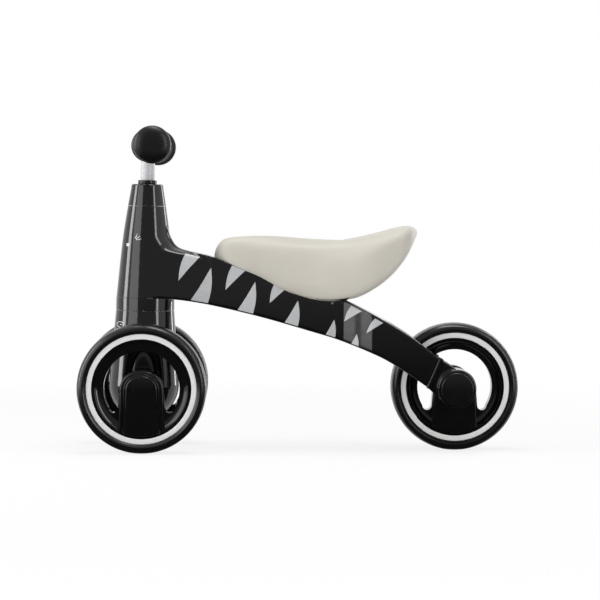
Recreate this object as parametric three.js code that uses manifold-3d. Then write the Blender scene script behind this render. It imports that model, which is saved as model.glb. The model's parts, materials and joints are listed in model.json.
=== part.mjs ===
// A small ride-on balance bike for a toddler: two front wheels on a steered leg, one rear wheel
// between two arms. Millimetres, +Z up, front towards -X, the rider's left towards -Y. The origin
// is on the floor under the middle of the bike.
import * as THREE from 'three';
import { mergeVertices } from 'three/addons/utils/BufferGeometryUtils.js';
import Module from 'manifold-3d';

const wasm = await Module();
wasm.setup();

const degree = Math.PI / 180;
const coarse = 12;                    // sides of small, middling and large round pieces
const medium = 16;
const round = 32;

// Layout
const wheelbase = 367;
const steeringLean = 0.8 * degree;    // the steering axis leans back at its top
const gap = 0.3;                      // between pieces that touch
const runGap = 0.5;                   // between pieces that turn past each other
const wall = 3;                       // moulded shells

// Wheels
const wheelRadius = 75;
const wheelHalfWidth = 20;
const rimRadius = 57.5;
const rimFace = 15.5;                 // from the wheel's middle plane
const dishFace = 10;
const throatRadius = 44;              // edge of the opening in the wheel
const ringRadius = 63.8;
const ringFace = 17;
const ringThickness = 2;
const hubHalfWidth = 25.2;
const hubRise = 21.3;                 // above the axle
const hubHalfLength = 17;
const hubBossRadius = 14;
const dishEdge = 5;                   // width of the flat between the opening and the rim's lip
const spokeFace = 15;
const spokeHalfWidth = 27;
const openingDepth = 28.5;            // how far the opening reaches below the axle
const openingRounding = 6;
const coverHalfWidth = 20;            // raised cover on the front wheels' outer faces
const coverRise = 17.5;
const coverFace = 19.5;
const coverEdge = 1.5;                // step between the cover's base and its top

// Axles, bushes and nuts
const axleRadius = 5;
const bushRadius = 8;
const bushLength = 9;
const flangeRadius = 11;
const flangeThickness = 1.5;
const nutRadius = 9.2;
const nutThickness = 5.5;
const nutSides = 6;
const threadPast = 0.8;               // axle left showing past a nut
const nutPocketRadius = 12.5;
const nutPocketDepth = 9;
const nutRoom = 1.5;                  // around the nut, for a spanner
const spacerRadius = 9;

// Steering column, heights along its axis above the front axle
const trackHalf = 64.9;               // middle plane of each front wheel
const crownHeight = 88;
const crownRadius = 34.2;
const crownThickness = 12;
const legHalfWidth = 40.3;
const legHalfThickness = 38.5;
const ringHeight = 14.5;
const headHeight = 107.5;
const headBottomRadius = 33.8;
const headWaistRadius = 27.4;
const headWaistShare = 0.63;          // height of the waist as a share of the head
const headTopRadius = 21.7;
const collarHeight = 25.5;
const collarTopRadius = 17.8;
const collarRounding = 3;
const steererRadius = 11.5;
const steererWall = 1.5;
const steererSocket = 43;
const headBushRadius = 14.5;
const headBushLength = 12;
const stopAngle = 67.5;               // degrees each way
const stopPinRadius = 2.5;
const stopTrackRadius = 25;
const stopPinReach = 8;

// Handlebar and grips
const barHeight = 281.6;
const barRadius = 8.4;
const barWall = 1.5;
const barBend = 25;                   // where the bar starts to sweep back
const barSweep = 6 * degree;
const gripStart = 6;                  // along the swept part
const gripLength = 84;
const gripRadius = 17.5;
const gripEndRadius = 21.8;
const ribHeight = 1.2;
const ribCount = 5;
const stemDepth = 75;                 // how far the stem goes down into the steerer
const crossPinRadius = 2.5;
const stemBushHeight = 4.5;
const stemBushSleeve = 30;

// Frame beam and rear arms
const beamHalfWidth = 25;
const neckInset = 0.25;               // the neck's sides lie this far inside the head's
const neckStretch = 2.2;              // how far the head's section spreads back into the beam
const armOuter = 48;
const armInner = 30;
const flareLength = 48;
const flareLead = 10;                 // solid beam left ahead of the wheel slot
const tyreClearance = 6.5;
const slotRounding = 12;
const tongueLength = 18;
const armOpening = 12;                // how far the hollow of an arm runs past its end
const bracketRadius = 22.5;
const bracketOuter = 54;
const capRadius = 19;
const capThickness = 5.5;
const screwRadius = 1.8;
const screwHeadRadius = 4.3;
const screwHeadHeight = 2.8;
const screwBossRadius = 6;
const screwSlot = 1.2;                // half width of the driver's recess

// Seat
const seatNose = -101;
const seatTail = 137;
const seatNoseWidth = 27;             // half widths
const seatTailWidth = 62;
const panThickness = 5;
const panInset = 9;
const seatPinRadius = 1.4;
const seatPinDrop = 3.6;              // below the top of the beam
const seatLugHalfLength = 8;
const seatLugDepth = 11;

const frontX = -wheelbase / 2;
const rearX = wheelbase / 2;
const axleZ = wheelRadius;
const slotStart = rearX - wheelRadius - tyreClearance;
const flareEnd = slotStart - flareLead;
const flareStart = flareEnd - flareLength;
const ringBottom = crownHeight + runGap;
const ringTop = ringBottom + ringHeight;
const headBottom = ringTop + gap;
const headTop = headBottom + headHeight;
const collarBottom = headTop + gap;
const collarTop = collarBottom + collarHeight;
const far = 400;                      // beyond everything, for cutting

const finish = {
  gloss: { color: 0x161617, roughness: 0.15, metalness: 0 },
  satin: { color: 0x1b1b1c, roughness: 0.5, metalness: 0 },
  tyre: { color: 0x1a1a1b, roughness: 0.55, metalness: 0 },
  ring: { color: 0xe3dfdd, roughness: 0.4, metalness: 0 },
  steel: { color: 0xb9b9bd, roughness: 0.35, metalness: 1 },
  silver: { color: 0xd9d7da, roughness: 0.3, metalness: 0.6 },
  nylon: { color: 0xd8d8d2, roughness: 0.5, metalness: 0 },
  seat: { color: 0xcdc9bd, roughness: 0.6, metalness: 0 },
};

// ---- solids ----

function toSolid(geometry) {
  const plain = geometry.clone();
  plain.deleteAttribute('normal');
  plain.deleteAttribute('uv');
  const merged = mergeVertices(plain, 1e-4);
  const data = { numProp: 3, vertProperties: merged.attributes.position.array };
  data.triVerts = new Uint32Array(merged.index.array);
  return new wasm.Manifold(new wasm.Mesh(data));
}

function toGeometry(solid) {
  const data = solid.getMesh();
  const geometry = new THREE.BufferGeometry();
  geometry.setAttribute('position', new THREE.BufferAttribute(data.vertProperties, 3));
  geometry.setIndex(new THREE.BufferAttribute(data.triVerts, 1));
  const faceted = geometry.toNonIndexed();
  faceted.computeVertexNormals();
  return faceted;
}

const join = (first, ...others) => others.reduce((sum, other) => sum.add(other), first);
const cut = (first, ...others) => others.reduce((rest, other) => rest.subtract(other), first);

function points(pairs) {
  return pairs.map(([x, y]) => new THREE.Vector2(x, y));
}

// A profile of [radius, along] pairs turned about Y.
function turnedAboutY(profile, segments) {
  return new THREE.LatheGeometry(points(profile), segments);
}

// The same about Z.
function turnedAboutZ(profile, segments) {
  return turnedAboutY(profile, segments).rotateX(Math.PI / 2);
}

function rodAlongY(radius, from, to, segments = medium) {
  const rod = new THREE.CylinderGeometry(radius, radius, to - from, segments);
  return rod.translate(0, (from + to) / 2, 0);
}

function rodAlongZ(radius, from, to, segments = medium) {
  const rod = new THREE.CylinderGeometry(radius, radius, to - from, segments);
  return rod.rotateX(Math.PI / 2).translate(0, 0, (from + to) / 2);
}

function block([x0, x1], [y0, y1], [z0, z1]) {
  const box = new THREE.BoxGeometry(x1 - x0, y1 - y0, z1 - z0);
  return box.translate((x0 + x1) / 2, (y0 + y1) / 2, (z0 + z1) / 2);
}

// A shape drawn in X and Z, given thickness along Y.
function sidePlate(shape, from, to, curveSegments = 6) {
  const settings = { depth: to - from, bevelEnabled: false, curveSegments };
  return new THREE.ExtrudeGeometry(shape, settings).rotateX(Math.PI / 2).translate(0, to, 0);
}

// A shape drawn in X and Y, given height along Z.
function floorPlate(shape, from, to, curveSegments = 6) {
  const settings = { depth: to - from, bevelEnabled: false, curveSegments };
  return new THREE.ExtrudeGeometry(shape, settings).translate(0, 0, from);
}

function tubeAlongY(outer, inner, from, to, segments = medium) {
  const hole = toSolid(rodAlongY(inner, from - 1, to + 1, segments));
  return cut(toSolid(rodAlongY(outer, from, to, segments)), hole);
}

function tubeAlongZ(outer, inner, from, to, segments = medium) {
  const hole = toSolid(rodAlongZ(inner, from - 1, to + 1, segments));
  return cut(toSolid(rodAlongZ(outer, from, to, segments)), hole);
}

// Moves a closed outline outwards by an even distance, or inwards when it is negative.
function grown(outline, distance) {
  const count = outline.length;
  return outline.map((here, i) => {
    const before = outline[(i + count - 1) % count];
    const after = outline[(i + 1) % count];
    const inDirection = here.clone().sub(before).normalize();
    const outDirection = after.clone().sub(here).normalize();
    const normalIn = new THREE.Vector2(inDirection.y, -inDirection.x);
    const normalOut = new THREE.Vector2(outDirection.y, -outDirection.x);
    const middle = normalIn.clone().add(normalOut).normalize();
    const reach = distance / Math.max(middle.dot(normalIn), 0.5);
    const turn = THREE.ShapeUtils.area(outline) > 0 ? 1 : -1;
    return here.clone().addScaledVector(middle, reach * turn);
  });
}

function addPart(group, name, solid, look) {
  const material = new THREE.MeshStandardMaterial(look);
  const mesh = new THREE.Mesh(toGeometry(solid), material);
  mesh.name = name;
  group.add(mesh);
  return mesh;
}

// ---- wheels, built about the origin with the axle along Y and the outer face towards -Y ----

function openingShape() {
  const shape = new THREE.Shape();
  const endAngle = Math.asin((openingDepth - openingRounding) / throatRadius);
  const endX = throatRadius * Math.cos(endAngle);
  const endZ = -throatRadius * Math.sin(endAngle);
  const middleX = (endX + spokeHalfWidth) / 2;
  shape.moveTo(endX, endZ);
  shape.absarc(0, 0, throatRadius, -endAngle, Math.PI + endAngle, false);
  shape.quadraticCurveTo(-endX, -openingDepth, -middleX, -openingDepth);
  shape.quadraticCurveTo(-spokeHalfWidth, -openingDepth, -spokeHalfWidth, endZ);
  shape.lineTo(-hubHalfWidth, 0);
  shape.absellipse(0, 0, hubHalfWidth, hubRise, Math.PI, 0, true);
  shape.lineTo(spokeHalfWidth, endZ);
  shape.quadraticCurveTo(spokeHalfWidth, -openingDepth, middleX, -openingDepth);
  shape.quadraticCurveTo(endX, -openingDepth, endX, endZ);
  return shape;
}

function spokeShape(halfWidth, rise, halfWidthBelow, reach) {
  const shape = new THREE.Shape();
  shape.moveTo(halfWidth, 0);
  shape.absellipse(0, 0, halfWidth, rise, 0, Math.PI, false);
  shape.lineTo(-halfWidthBelow, -Math.sqrt(reach ** 2 - halfWidthBelow ** 2));
  const angle = Math.acos(halfWidthBelow / reach);
  shape.absarc(0, 0, reach, Math.PI + angle, 2 * Math.PI - angle, false);
  return shape;
}

function tyreSolid() {
  const seat = rimRadius + gap;
  const ringSeat = ringRadius + gap;
  const ringBack = ringFace - ringThickness - gap;
  const side = [
    [seat, -ringBack],
    [ringSeat, -ringBack],
    [ringSeat, -ringFace - 1],
    [wheelRadius - 7, -wheelHalfWidth],
    [wheelRadius - 2, -wheelHalfWidth + 4],
    [wheelRadius, -wheelHalfWidth + 13],
  ];
  const mirrored = side.map(([radius, along]) => [radius, -along]).reverse();
  return toSolid(turnedAboutY([...side, ...mirrored, side[0]], round));
}

function ringSolid(direction) {
  const inner = rimRadius + gap;
  const near = direction * (ringFace - ringThickness);
  const away = direction * ringFace;
  const low = Math.min(near, away);
  const high = Math.max(near, away);
  const profile = [[inner, low], [ringRadius, low], [ringRadius, high], [inner, high], [inner, low]];
  return toSolid(turnedAboutY(profile, round));
}

// The rim is a dished disc with one opening, which leaves a hub and a single wide spoke.
function rimSolid(hasCover) {
  const disc = [
    [0, -dishFace],
    [throatRadius + dishEdge, -dishFace - 0.5],
    [rimRadius, -rimFace],
    [rimRadius, rimFace],
    [throatRadius + dishEdge, dishFace + 0.5],
    [0, dishFace],
  ];
  const spoke = spokeShape(hubHalfWidth, hubRise, spokeHalfWidth - 2, rimRadius - 2);
  const face = sidePlate(spoke, -spokeFace, spokeFace);
  const hub = rodAlongY(hubBossRadius, -spokeFace, hubHalfLength, medium);
  const body = join(toSolid(turnedAboutY(disc, round)), toSolid(face), toSolid(hub));
  const opening = toSolid(sidePlate(openingShape(), -far, far, 6));
  const bore = toSolid(rodAlongY(bushRadius + gap, -far, far));
  const shaped = cut(body, opening, bore);
  if (hasCover) {
    const pocket = rodAlongY(nutPocketRadius, -far, -spokeFace + nutPocketDepth, medium);
    return cut(shaped, toSolid(pocket));
  }
  return join(shaped, cut(toSolid(rodAlongY(hubBossRadius, -hubHalfLength, 0, medium)), bore));
}

function bushSolid(hubFace, direction) {
  const flangeFrom = hubFace + direction * gap / 2;
  const flangeTo = flangeFrom + direction * flangeThickness;
  const sleeveTo = hubFace - direction * bushLength;
  const order = (a, b) => [Math.min(a, b), Math.max(a, b)];
  const flange = toSolid(rodAlongY(flangeRadius, ...order(flangeFrom, flangeTo), coarse));
  const sleeve = toSolid(rodAlongY(bushRadius, ...order(flangeTo, sleeveTo), coarse));
  return cut(join(flange, sleeve), toSolid(rodAlongY(axleRadius + gap, -far, far, coarse)));
}

function spokeCoverSolid() {
  const shape = spokeShape(coverHalfWidth, coverRise, coverHalfWidth + 2, rimRadius - 1);
  const base = toSolid(sidePlate(shape, -spokeFace - gap - 2, -spokeFace - gap));
  const inset = coverEdge;
  const topShape = spokeShape(
    coverHalfWidth - inset, coverRise - inset, coverHalfWidth + 2 - inset, rimRadius - 1 - inset,
  );
  return join(base, toSolid(sidePlate(topShape, -coverFace, -spokeFace - gap - 1)));
}

function nutSolid(from, to) {
  const hexagon = rodAlongY(nutRadius, from, to, nutSides);
  return cut(toSolid(hexagon), toSolid(rodAlongY(axleRadius + gap, -far, far)));
}

function addWheel(group, name, hasCover) {
  const outerHubFace = hasCover ? -spokeFace + nutPocketDepth : -hubHalfLength;
  addPart(group, name + '_tyre', tyreSolid(), finish.tyre);
  addPart(group, name + '_rim', rimSolid(hasCover), finish.gloss);
  addPart(group, name + '_ring_outer', ringSolid(-1), finish.ring);
  addPart(group, name + '_ring_inner', ringSolid(1), finish.ring);
  addPart(group, name + '_bush_outer', bushSolid(outerHubFace, -1), finish.nylon);
  addPart(group, name + '_bush_inner', bushSolid(hubHalfLength, 1), finish.nylon);
  if (hasCover) {
    addPart(group, name + '_spoke_cover', spokeCoverSolid(), finish.gloss);
  }
}

// ---- steering, built about the front axle with the steering axis along Z ----

// The leg is a cone with a ball-shaped heel under the axle and a flat beside each wheel.
function legSolid(shrink) {
  const top = crownHeight - shrink;
  const radius = legHalfWidth - shrink;
  const steps = round / 4;
  const profile = [];
  for (let step = 0; step <= steps; step += 1) {
    const angle = (step / steps - 1) * Math.PI / 2;
    profile.push([radius * Math.cos(angle), radius * Math.sin(angle)]);
  }
  profile.push([crownRadius - shrink, top], [0, top]);
  const side = legHalfThickness - shrink;
  const slab = toSolid(block([-far, far], [-side, side], [-far, far]));
  return toSolid(turnedAboutZ(profile, round)).intersect(slab);
}

const forkScrewSpots = [[-24, 52], [24, 52]];

function screwHole(spot, from, shoulder) {
  const [x, z] = spot;
  const shank = rodAlongY(screwRadius + gap, from, far, coarse).translate(x, 0, z);
  const seat = rodAlongY(screwHeadRadius + gap, shoulder, far, medium).translate(x, 0, z);
  return join(toSolid(shank), toSolid(seat));
}

function screwSolid(spot, from, shoulder) {
  const [x, z] = spot;
  const seat = shoulder + gap;
  const shank = rodAlongY(screwRadius, from + 1, seat + 1, coarse).translate(x, 0, z);
  const head = rodAlongY(screwHeadRadius, seat, seat + screwHeadHeight, medium).translate(x, 0, z);
  const slotFrom = shoulder + screwHeadHeight - 1;
  const slot = block([x - screwSlot, x + screwSlot], [slotFrom, far], [z - screwSlot, z + screwSlot]);
  return cut(join(toSolid(shank), toSolid(head)), toSolid(slot));
}

const forkScrewFrom = -14;
const forkScrewShoulder = 20;

function forkSolid() {
  const steererBoss = toSolid(rodAlongZ(steererRadius + 4.5, crownHeight - steererSocket - 6, crownHeight));
  const axleBoss = toSolid(rodAlongY(axleRadius + 7, -far, far));
  const crown = toSolid(block([-far, far], [-far, far], [crownHeight - crownThickness, far]));
  const bosses = forkScrewSpots.map(([x, z]) => {
    return toSolid(rodAlongY(screwBossRadius, -far, far).translate(x, 0, z));
  });
  const hollow = cut(legSolid(wall), steererBoss, axleBoss, crown, ...bosses);
  const socket = toSolid(rodAlongZ(steererRadius + gap, crownHeight - steererSocket, far, medium));
  const axleHole = toSolid(rodAlongY(axleRadius + gap, -far, far));
  const pinHole = rodAlongZ(stopPinRadius + gap, stopPinBottom - gap, far, medium);
  const stopHole = toSolid(pinHole.translate(0, -stopTrackRadius, 0));
  const screwHoles = forkScrewSpots.map((spot) => screwHole(spot, forkScrewFrom, forkScrewShoulder));
  return cut(legSolid(0), hollow, socket, axleHole, stopHole, ...screwHoles);
}

const stopPinBottom = crownHeight - stopPinReach;

function halves(solid) {
  const left = toSolid(block([-far, far], [-far, -gap / 2], [-far, far]));
  const right = toSolid(block([-far, far], [gap / 2, far], [-far, far]));
  return [solid.intersect(left), solid.intersect(right)];
}

const steererBottom = crownHeight - steererSocket + gap;
const steererTop = collarTop - gap;
const stemBottom = collarTop - stemDepth;
const crossPinHeight = stemBottom + 20;

function crossPinHole() {
  const hole = rodAlongY(crossPinRadius + gap, -far, far, medium).translate(0, 0, crossPinHeight);
  return toSolid(hole);
}

function steererSolid() {
  const tube = tubeAlongZ(steererRadius, steererRadius - steererWall, steererBottom, steererTop);
  return cut(tube, crossPinHole());
}

function stemBushSolid() {
  const flangeFrom = steererTop + gap;
  const flangeTo = flangeFrom + stemBushHeight;
  const flange = toSolid(rodAlongZ(steererRadius - 0.5, flangeFrom, flangeTo, medium));
  const sleeveRadius = steererRadius - steererWall - gap;
  const sleeve = toSolid(rodAlongZ(sleeveRadius, steererTop - stemBushSleeve, flangeTo, medium));
  return cut(join(flange, sleeve), toSolid(rodAlongZ(barRadius + gap, 0, far, medium)));
}

// The stem and the bar are one welded tube; each side of the bar sweeps back a little.
function handlebarTube(radius, endLength) {
  const stem = toSolid(rodAlongZ(radius, stemBottom - (barRadius - radius), barHeight, medium));
  const middle = toSolid(rodAlongY(radius, -barBend, barBend, medium).translate(0, 0, barHeight));
  const sides = [-1, 1].map((side) => {
    const rod = rodAlongY(radius, side < 0 ? -endLength : 0, side < 0 ? 0 : endLength, medium);
    const elbow = new THREE.SphereGeometry(radius, medium, medium / 2).rotateX(Math.PI / 2);
    return toSolid(sweptPlace(rod, side)).add(toSolid(sweptPlace(elbow, side)));
  });
  return join(stem, middle, ...sides);
}

function sweptPlace(geometry, side) {
  return geometry.rotateZ(-side * barSweep).translate(0, side * barBend, barHeight);
}

function handlebarSolid() {
  const length = gripStart + gripLength - 6;
  const outside = handlebarTube(barRadius, length);
  return cut(outside, handlebarTube(barRadius - barWall, length + 2), crossPinHole());
}

// A ribbed sleeve with a domed end, built along +Y from the bend of the bar.
function gripSolid(side) {
  const pitch = (gripLength - 22) / ribCount;
  const profile = [[0, gripStart], [gripRadius + 1, gripStart], [gripRadius + 2, gripStart + 4]];
  for (let rib = 0; rib < ribCount; rib += 1) {
    const start = gripStart + 5 + rib * pitch;
    profile.push([gripRadius, start], [gripRadius, start + pitch / 2]);
    const top = gripRadius + ribHeight;
    profile.push([top, start + pitch * 0.55], [top, start + pitch * 0.95]);
  }
  const end = gripStart + gripLength;
  profile.push([gripRadius, end - 15.5], [gripEndRadius - 1.5, end - 12.5], [gripEndRadius, end - 9]);
  profile.push([gripEndRadius - 1.2, end - 4.5], [gripEndRadius - 6, end - 1.2], [0, end]);
  const sleeve = toSolid(turnedAboutY(profile, medium));
  const bore = toSolid(rodAlongY(barRadius + gap, -1, end - 6, medium));
  const made = toGeometry(cut(sleeve, bore));
  if (side < 0) {
    made.rotateZ(Math.PI);
  }
  return toSolid(sweptPlace(made, side));
}

function stopPinSolid() {
  const pin = rodAlongZ(stopPinRadius, stopPinBottom, ringBottom + stopPinReach, medium);
  return toSolid(pin.translate(0, -stopTrackRadius, 0));
}

function addSteering(group) {
  const [forkLeft, forkRight] = halves(forkSolid());
  addPart(group, 'fork_shell_left', forkLeft, finish.gloss);
  addPart(group, 'fork_shell_right', forkRight, finish.gloss);
  forkScrewSpots.forEach((spot, i) => {
    const screw = screwSolid(spot, forkScrewFrom, forkScrewShoulder);
    addPart(group, 'fork_screw_' + ['front', 'rear'][i], screw, finish.steel);
  });
  addPart(group, 'steerer_tube', steererSolid(), finish.steel);
  addPart(group, 'stem_bush', stemBushSolid(), finish.satin);
  addPart(group, 'handlebar', handlebarSolid(), finish.silver);
  const pinReach = steererRadius + 0.5;
  const stemPin = rodAlongY(crossPinRadius, -pinReach, pinReach, medium).translate(0, 0, crossPinHeight);
  addPart(group, 'stem_pin', toSolid(stemPin), finish.steel);
  addPart(group, 'stop_pin', stopPinSolid(), finish.steel);
  addPart(group, 'grip_left', gripSolid(-1), finish.satin);
  addPart(group, 'grip_right', gripSolid(1), finish.satin);
  addFrontAxle(group);
}

function addFrontAxle(group) {
  const nutFrom = trackHalf + spokeFace - nutPocketDepth + flangeThickness + 2 * gap;
  const axleEnd = nutFrom + nutThickness + threadPast;
  addPart(group, 'front_axle', toSolid(rodAlongY(axleRadius, -axleEnd, axleEnd)), finish.steel);
  const spacerTo = trackHalf - hubHalfLength - flangeThickness - 2 * gap;
  [['left', -1], ['right', 1]].forEach(([name, side]) => {
    const spacerEnds = [side * (legHalfThickness + gap), side * spacerTo].sort((a, b) => a - b);
    const nutEnds = [side * nutFrom, side * (nutFrom + nutThickness)].sort((a, b) => a - b);
    const spacer = tubeAlongY(spacerRadius, axleRadius + gap, ...spacerEnds);
    addPart(group, 'front_spacer_' + name, spacer, finish.nylon);
    addPart(group, 'front_nut_' + name, nutSolid(...nutEnds), finish.steel);
  });
}

// ---- frame ----

// Places a solid made about the steering axis in the bike's own frame.
function leant(geometry) {
  return geometry.rotateY(steeringLean).translate(frontX, 0, axleZ);
}

// The edges of the beam from the head to the ends of the arms. Points near the head are placed
// from the front axle, points near the arms from the rear axle.
const beamTop = points([
  [frontX + 1, axleZ + 192],
  [frontX + 20, axleZ + 191],
  [frontX + 27, axleZ + 186],
  [frontX + 31.5, axleZ + 174],
  [frontX + 39, axleZ + 163.5],
  [frontX + 52, axleZ + 158.5],
  [frontX + 82, axleZ + 151.5],
  [frontX + 120, axleZ + 137],
  [frontX + 153, axleZ + 121.5],
  [-4, axleZ + 110],
  [15, axleZ + 103.8],
  [27, axleZ + 102],
]);
const seatStep = new THREE.Vector2(54, axleZ + 101.7);
const armTop = points([
  [seatStep.x, seatStep.y],
  [rearX - 115.5, axleZ + 95],
  [rearX - 84.5, axleZ + 78.7],
  [rearX - 49.5, axleZ + 57],
  [rearX - 16.5, axleZ + 27.6],
]);
const beamBottom = points([
  [rearX - 34.5, axleZ + 1.7],
  [rearX - 64.5, axleZ + 21.6],
  [rearX - 93.7, axleZ + 38],
  [rearX - 136.5, axleZ + 54.4],
  [19, axleZ + 63],
  [frontX + 132, axleZ + 82.8],
  [frontX + 61.5, axleZ + 98.3],
  [frontX + 1, axleZ + 105],
]);

const smooth = (corners, count) => new THREE.SplineCurve(corners).getPoints(count);

function heightOn(curvePoints, x) {
  const passes = (point, i) => i > 0 && (point.x - x) * (curvePoints[i - 1].x - x) <= 0;
  const next = curvePoints.findIndex(passes);
  const [a, b] = [curvePoints[next - 1], curvePoints[next]];
  return a.y + (b.y - a.y) * (x - a.x) / (b.x - a.x);
}

const topEdge = smooth(beamTop, 12);
const bottomEdge = smooth(beamBottom, 9);
const beamTopAt = (x) => heightOn([...topEdge, seatStep], x);
const beamMiddleAt = (x) => (beamTopAt(x) + heightOn(bottomEdge, x)) / 2;

function beamOutline(grow, armExtra) {
  const seamMiddle = beamBottom[0].clone().add(armTop.at(-1)).divideScalar(2);
  const past = new THREE.Vector2(rearX, axleZ).sub(seamMiddle).normalize().multiplyScalar(armExtra);
  const arm = smooth(armTop, 6);
  const ends = [arm.at(-1).clone().add(past), bottomEdge[0].clone().add(past)];
  const outline = [...topEdge, ...arm, ...ends, ...bottomEdge];
  const distinct = outline.filter((point, i) => i === 0 || point.distanceTo(outline[i - 1]) > 0.1);
  return new THREE.Shape(grown(distinct, grow));
}

function beamPlan(grow, armExtra) {
  const end = rearX + armExtra;
  const flareCorners = points([
    [flareStart, 0],
    [flareStart + 25, 2],
    [flareEnd - 20, 13],
    [flareEnd, armOuter - beamHalfWidth],
  ]);
  const flare = new THREE.CubicBezierCurve(...flareCorners).getPoints(6);
  const side = flare.map((point) => new THREE.Vector2(point.x, point.y + beamHalfWidth));
  const upper = [...points([[frontX, beamHalfWidth - 3], [frontX + 80, beamHalfWidth]]), ...side];
  upper.push(new THREE.Vector2(end, armOuter));
  const lower = upper.map((point) => new THREE.Vector2(point.x, -point.y)).reverse();
  return new THREE.Shape(grown([...upper, ...lower], grow));
}

function wheelSlot(grow) {
  const half = armInner - grow;
  const start = slotStart - grow;
  const shape = new THREE.Shape();
  const rounding = slotRounding;
  shape.moveTo(far, -half);
  shape.lineTo(far, half);
  shape.lineTo(start + rounding, half);
  shape.absarc(start + rounding, half - rounding, rounding, Math.PI / 2, Math.PI, false);
  shape.absarc(start + rounding, -half + rounding, rounding, Math.PI, Math.PI * 1.5, false);
  return toSolid(floorPlate(shape, -far, far, 5));
}

function beamSolid(grow, armExtra = 0) {
  const side = toSolid(sidePlate(beamOutline(grow, armExtra), -far, far));
  const plan = toSolid(floorPlate(beamPlan(grow, armExtra), -far, far));
  return cut(side.intersect(plan), wheelSlot(grow));
}

function headProfile(shrink, from, to) {
  const waist = headBottom + headHeight * headWaistShare;
  const radii = [[headBottomRadius, headBottom], [headWaistRadius, waist], [headTopRadius, headTop]];
  const shifted = radii.map(([radius, height]) => [radius - shrink, height]);
  shifted[0][1] = from;
  shifted[2][1] = to;
  return [[0, from], ...shifted, [0, to]];
}

// The head's sides run on into the beam's, so that one flows into the other.
function neckSolid(shrink) {
  const neck = turnedAboutZ(headProfile(shrink, headBottom, headTop), round).scale(neckStretch, 1, 1);
  const side = toSolid(sidePlate(beamOutline(-shrink, 0), -far, far));
  return toSolid(leant(neck)).intersect(side);
}

const headPlate = 14;                 // solid ends of the head that hold the bushes
const frameScrewSpots = [frontX + 56, frontX + 112, -12].map((x) => [x, beamMiddleAt(x)]);
const frameScrewFrom = -16;
const frameScrewShoulder = beamHalfWidth - screwHeadHeight - 1.2;
const seatPinX = 38;
const seatBoltX = seatNose + 42.5;
const seatBoltY = 11;
const seatBoltRadius = 2.5;
const seatBoltLength = 16;
const seatBoltHeadRadius = 5;
const seatBoltHeadHeight = 3.5;

function seatBoltHoles() {
  const top = beamTopAt(seatBoltX);
  return [-1, 1].map((side) => {
    const hole = rodAlongZ(seatBoltRadius + gap, top - seatBoltLength, top + far, coarse);
    return toSolid(hole.translate(seatBoltX, side * seatBoltY, 0));
  });
}

function seatPinRod(extra) {
  const reach = beamHalfWidth + 0.4 + (extra ? far : 0);
  const rod = rodAlongY(seatPinRadius + extra, -reach, reach, coarse);
  return toSolid(rod.translate(seatPinX, 0, beamTopAt(seatPinX) - seatPinDrop));
}

function seatLug(extra) {
  const top = beamTopAt(seatPinX);
  const half = seatLugHalfLength + extra;
  const depth = [top - seatLugDepth - extra, top + 3];
  return toSolid(block([seatPinX - half, seatPinX + half], [-half, half], depth));
}

function frameSolid() {
  const head = toSolid(leant(turnedAboutZ(headProfile(0, headBottom, headTop), round)));
  const outside = join(head, beamSolid(0), neckSolid(neckInset));
  const headRoom = headProfile(wall, headBottom + headPlate, headTop - headPlate);
  const bosses = frameScrewSpots.map(([x, z]) => {
    return toSolid(rodAlongY(screwBossRadius, -far, far).translate(x, 0, z));
  });
  const boltBosses = [-1, 1].map((side) => {
    const top = beamTopAt(seatBoltX);
    const boss = rodAlongZ(seatBoltRadius + 3, top - seatBoltLength - 4, top, medium);
    return toSolid(boss.translate(seatBoltX, side * seatBoltY, 0));
  });
  const headPlug = rodAlongZ(headBottomRadius + 2, headBottom, headBottom + headPlate, round);
  const headCore = toSolid(leant(headPlug));
  const ringRoom = toSolid(leant(rodAlongZ(crownRadius + runGap, -far, headBottom, round)));
  const beamRoom = cut(join(beamSolid(-wall, armOpening), neckSolid(wall)), headCore);
  const room = cut(join(toSolid(leant(turnedAboutZ(headRoom, round))), beamRoom), ...bosses, ...boltBosses);
  const steererWay = toSolid(leant(rodAlongZ(steererRadius + 1, -far, far, medium)));
  const bushSeats = headBushPlaces.map(([from, to]) => {
    return toSolid(leant(rodAlongZ(headBushRadius + gap, from, to, medium)));
  });
  const screwHoles = frameScrewSpots.map((spot) => screwHole(spot, frameScrewFrom, frameScrewShoulder));
  const tools = [room, ringRoom, steererWay, ...bushSeats, ...screwHoles, ...seatBoltHoles()];
  return cut(outside, ...tools, seatPinRod(gap), seatLug(gap));
}

const headBushPlaces = [
  [headBottom - 1, headBottom + headBushLength + gap],
  [headTop - headBushLength - gap, headTop + 1],
];

function headBushSolid([from, to], trimTop, trimBottom) {
  return tubeAlongZ(headBushRadius, steererRadius + gap, from + trimBottom, to - trimTop);
}

function stopRingSolid() {
  const ring = tubeAlongZ(crownRadius, steererRadius + runGap, ringBottom, ringTop, round);
  const half = stopAngle * degree + Math.asin((stopPinRadius + runGap) / stopTrackRadius);
  const middle = -Math.PI / 2;
  const track = new THREE.Shape();
  track.absarc(0, 0, stopTrackRadius + stopPinRadius + runGap, middle - half, middle + half, false);
  track.absarc(0, 0, stopTrackRadius - stopPinRadius - runGap, middle + half, middle - half, true);
  return cut(ring, toSolid(floorPlate(track, -1, ringBottom + stopPinReach + runGap, medium)));
}

function collarSolid() {
  const profile = [
    [0, collarBottom],
    [headTopRadius, collarBottom],
    [collarTopRadius + 0.6, collarTop - collarRounding],
    [collarTopRadius - collarRounding * 0.3, collarTop - collarRounding * 0.3],
    [collarTopRadius - collarRounding, collarTop],
    [0, collarTop],
  ];
  const bore = toSolid(rodAlongZ(steererRadius + runGap, -far, far, medium));
  return cut(toSolid(turnedAboutZ(profile, round)), bore);
}

function atRearAxle(geometry) {
  return geometry.translate(rearX, 0, axleZ);
}

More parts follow.
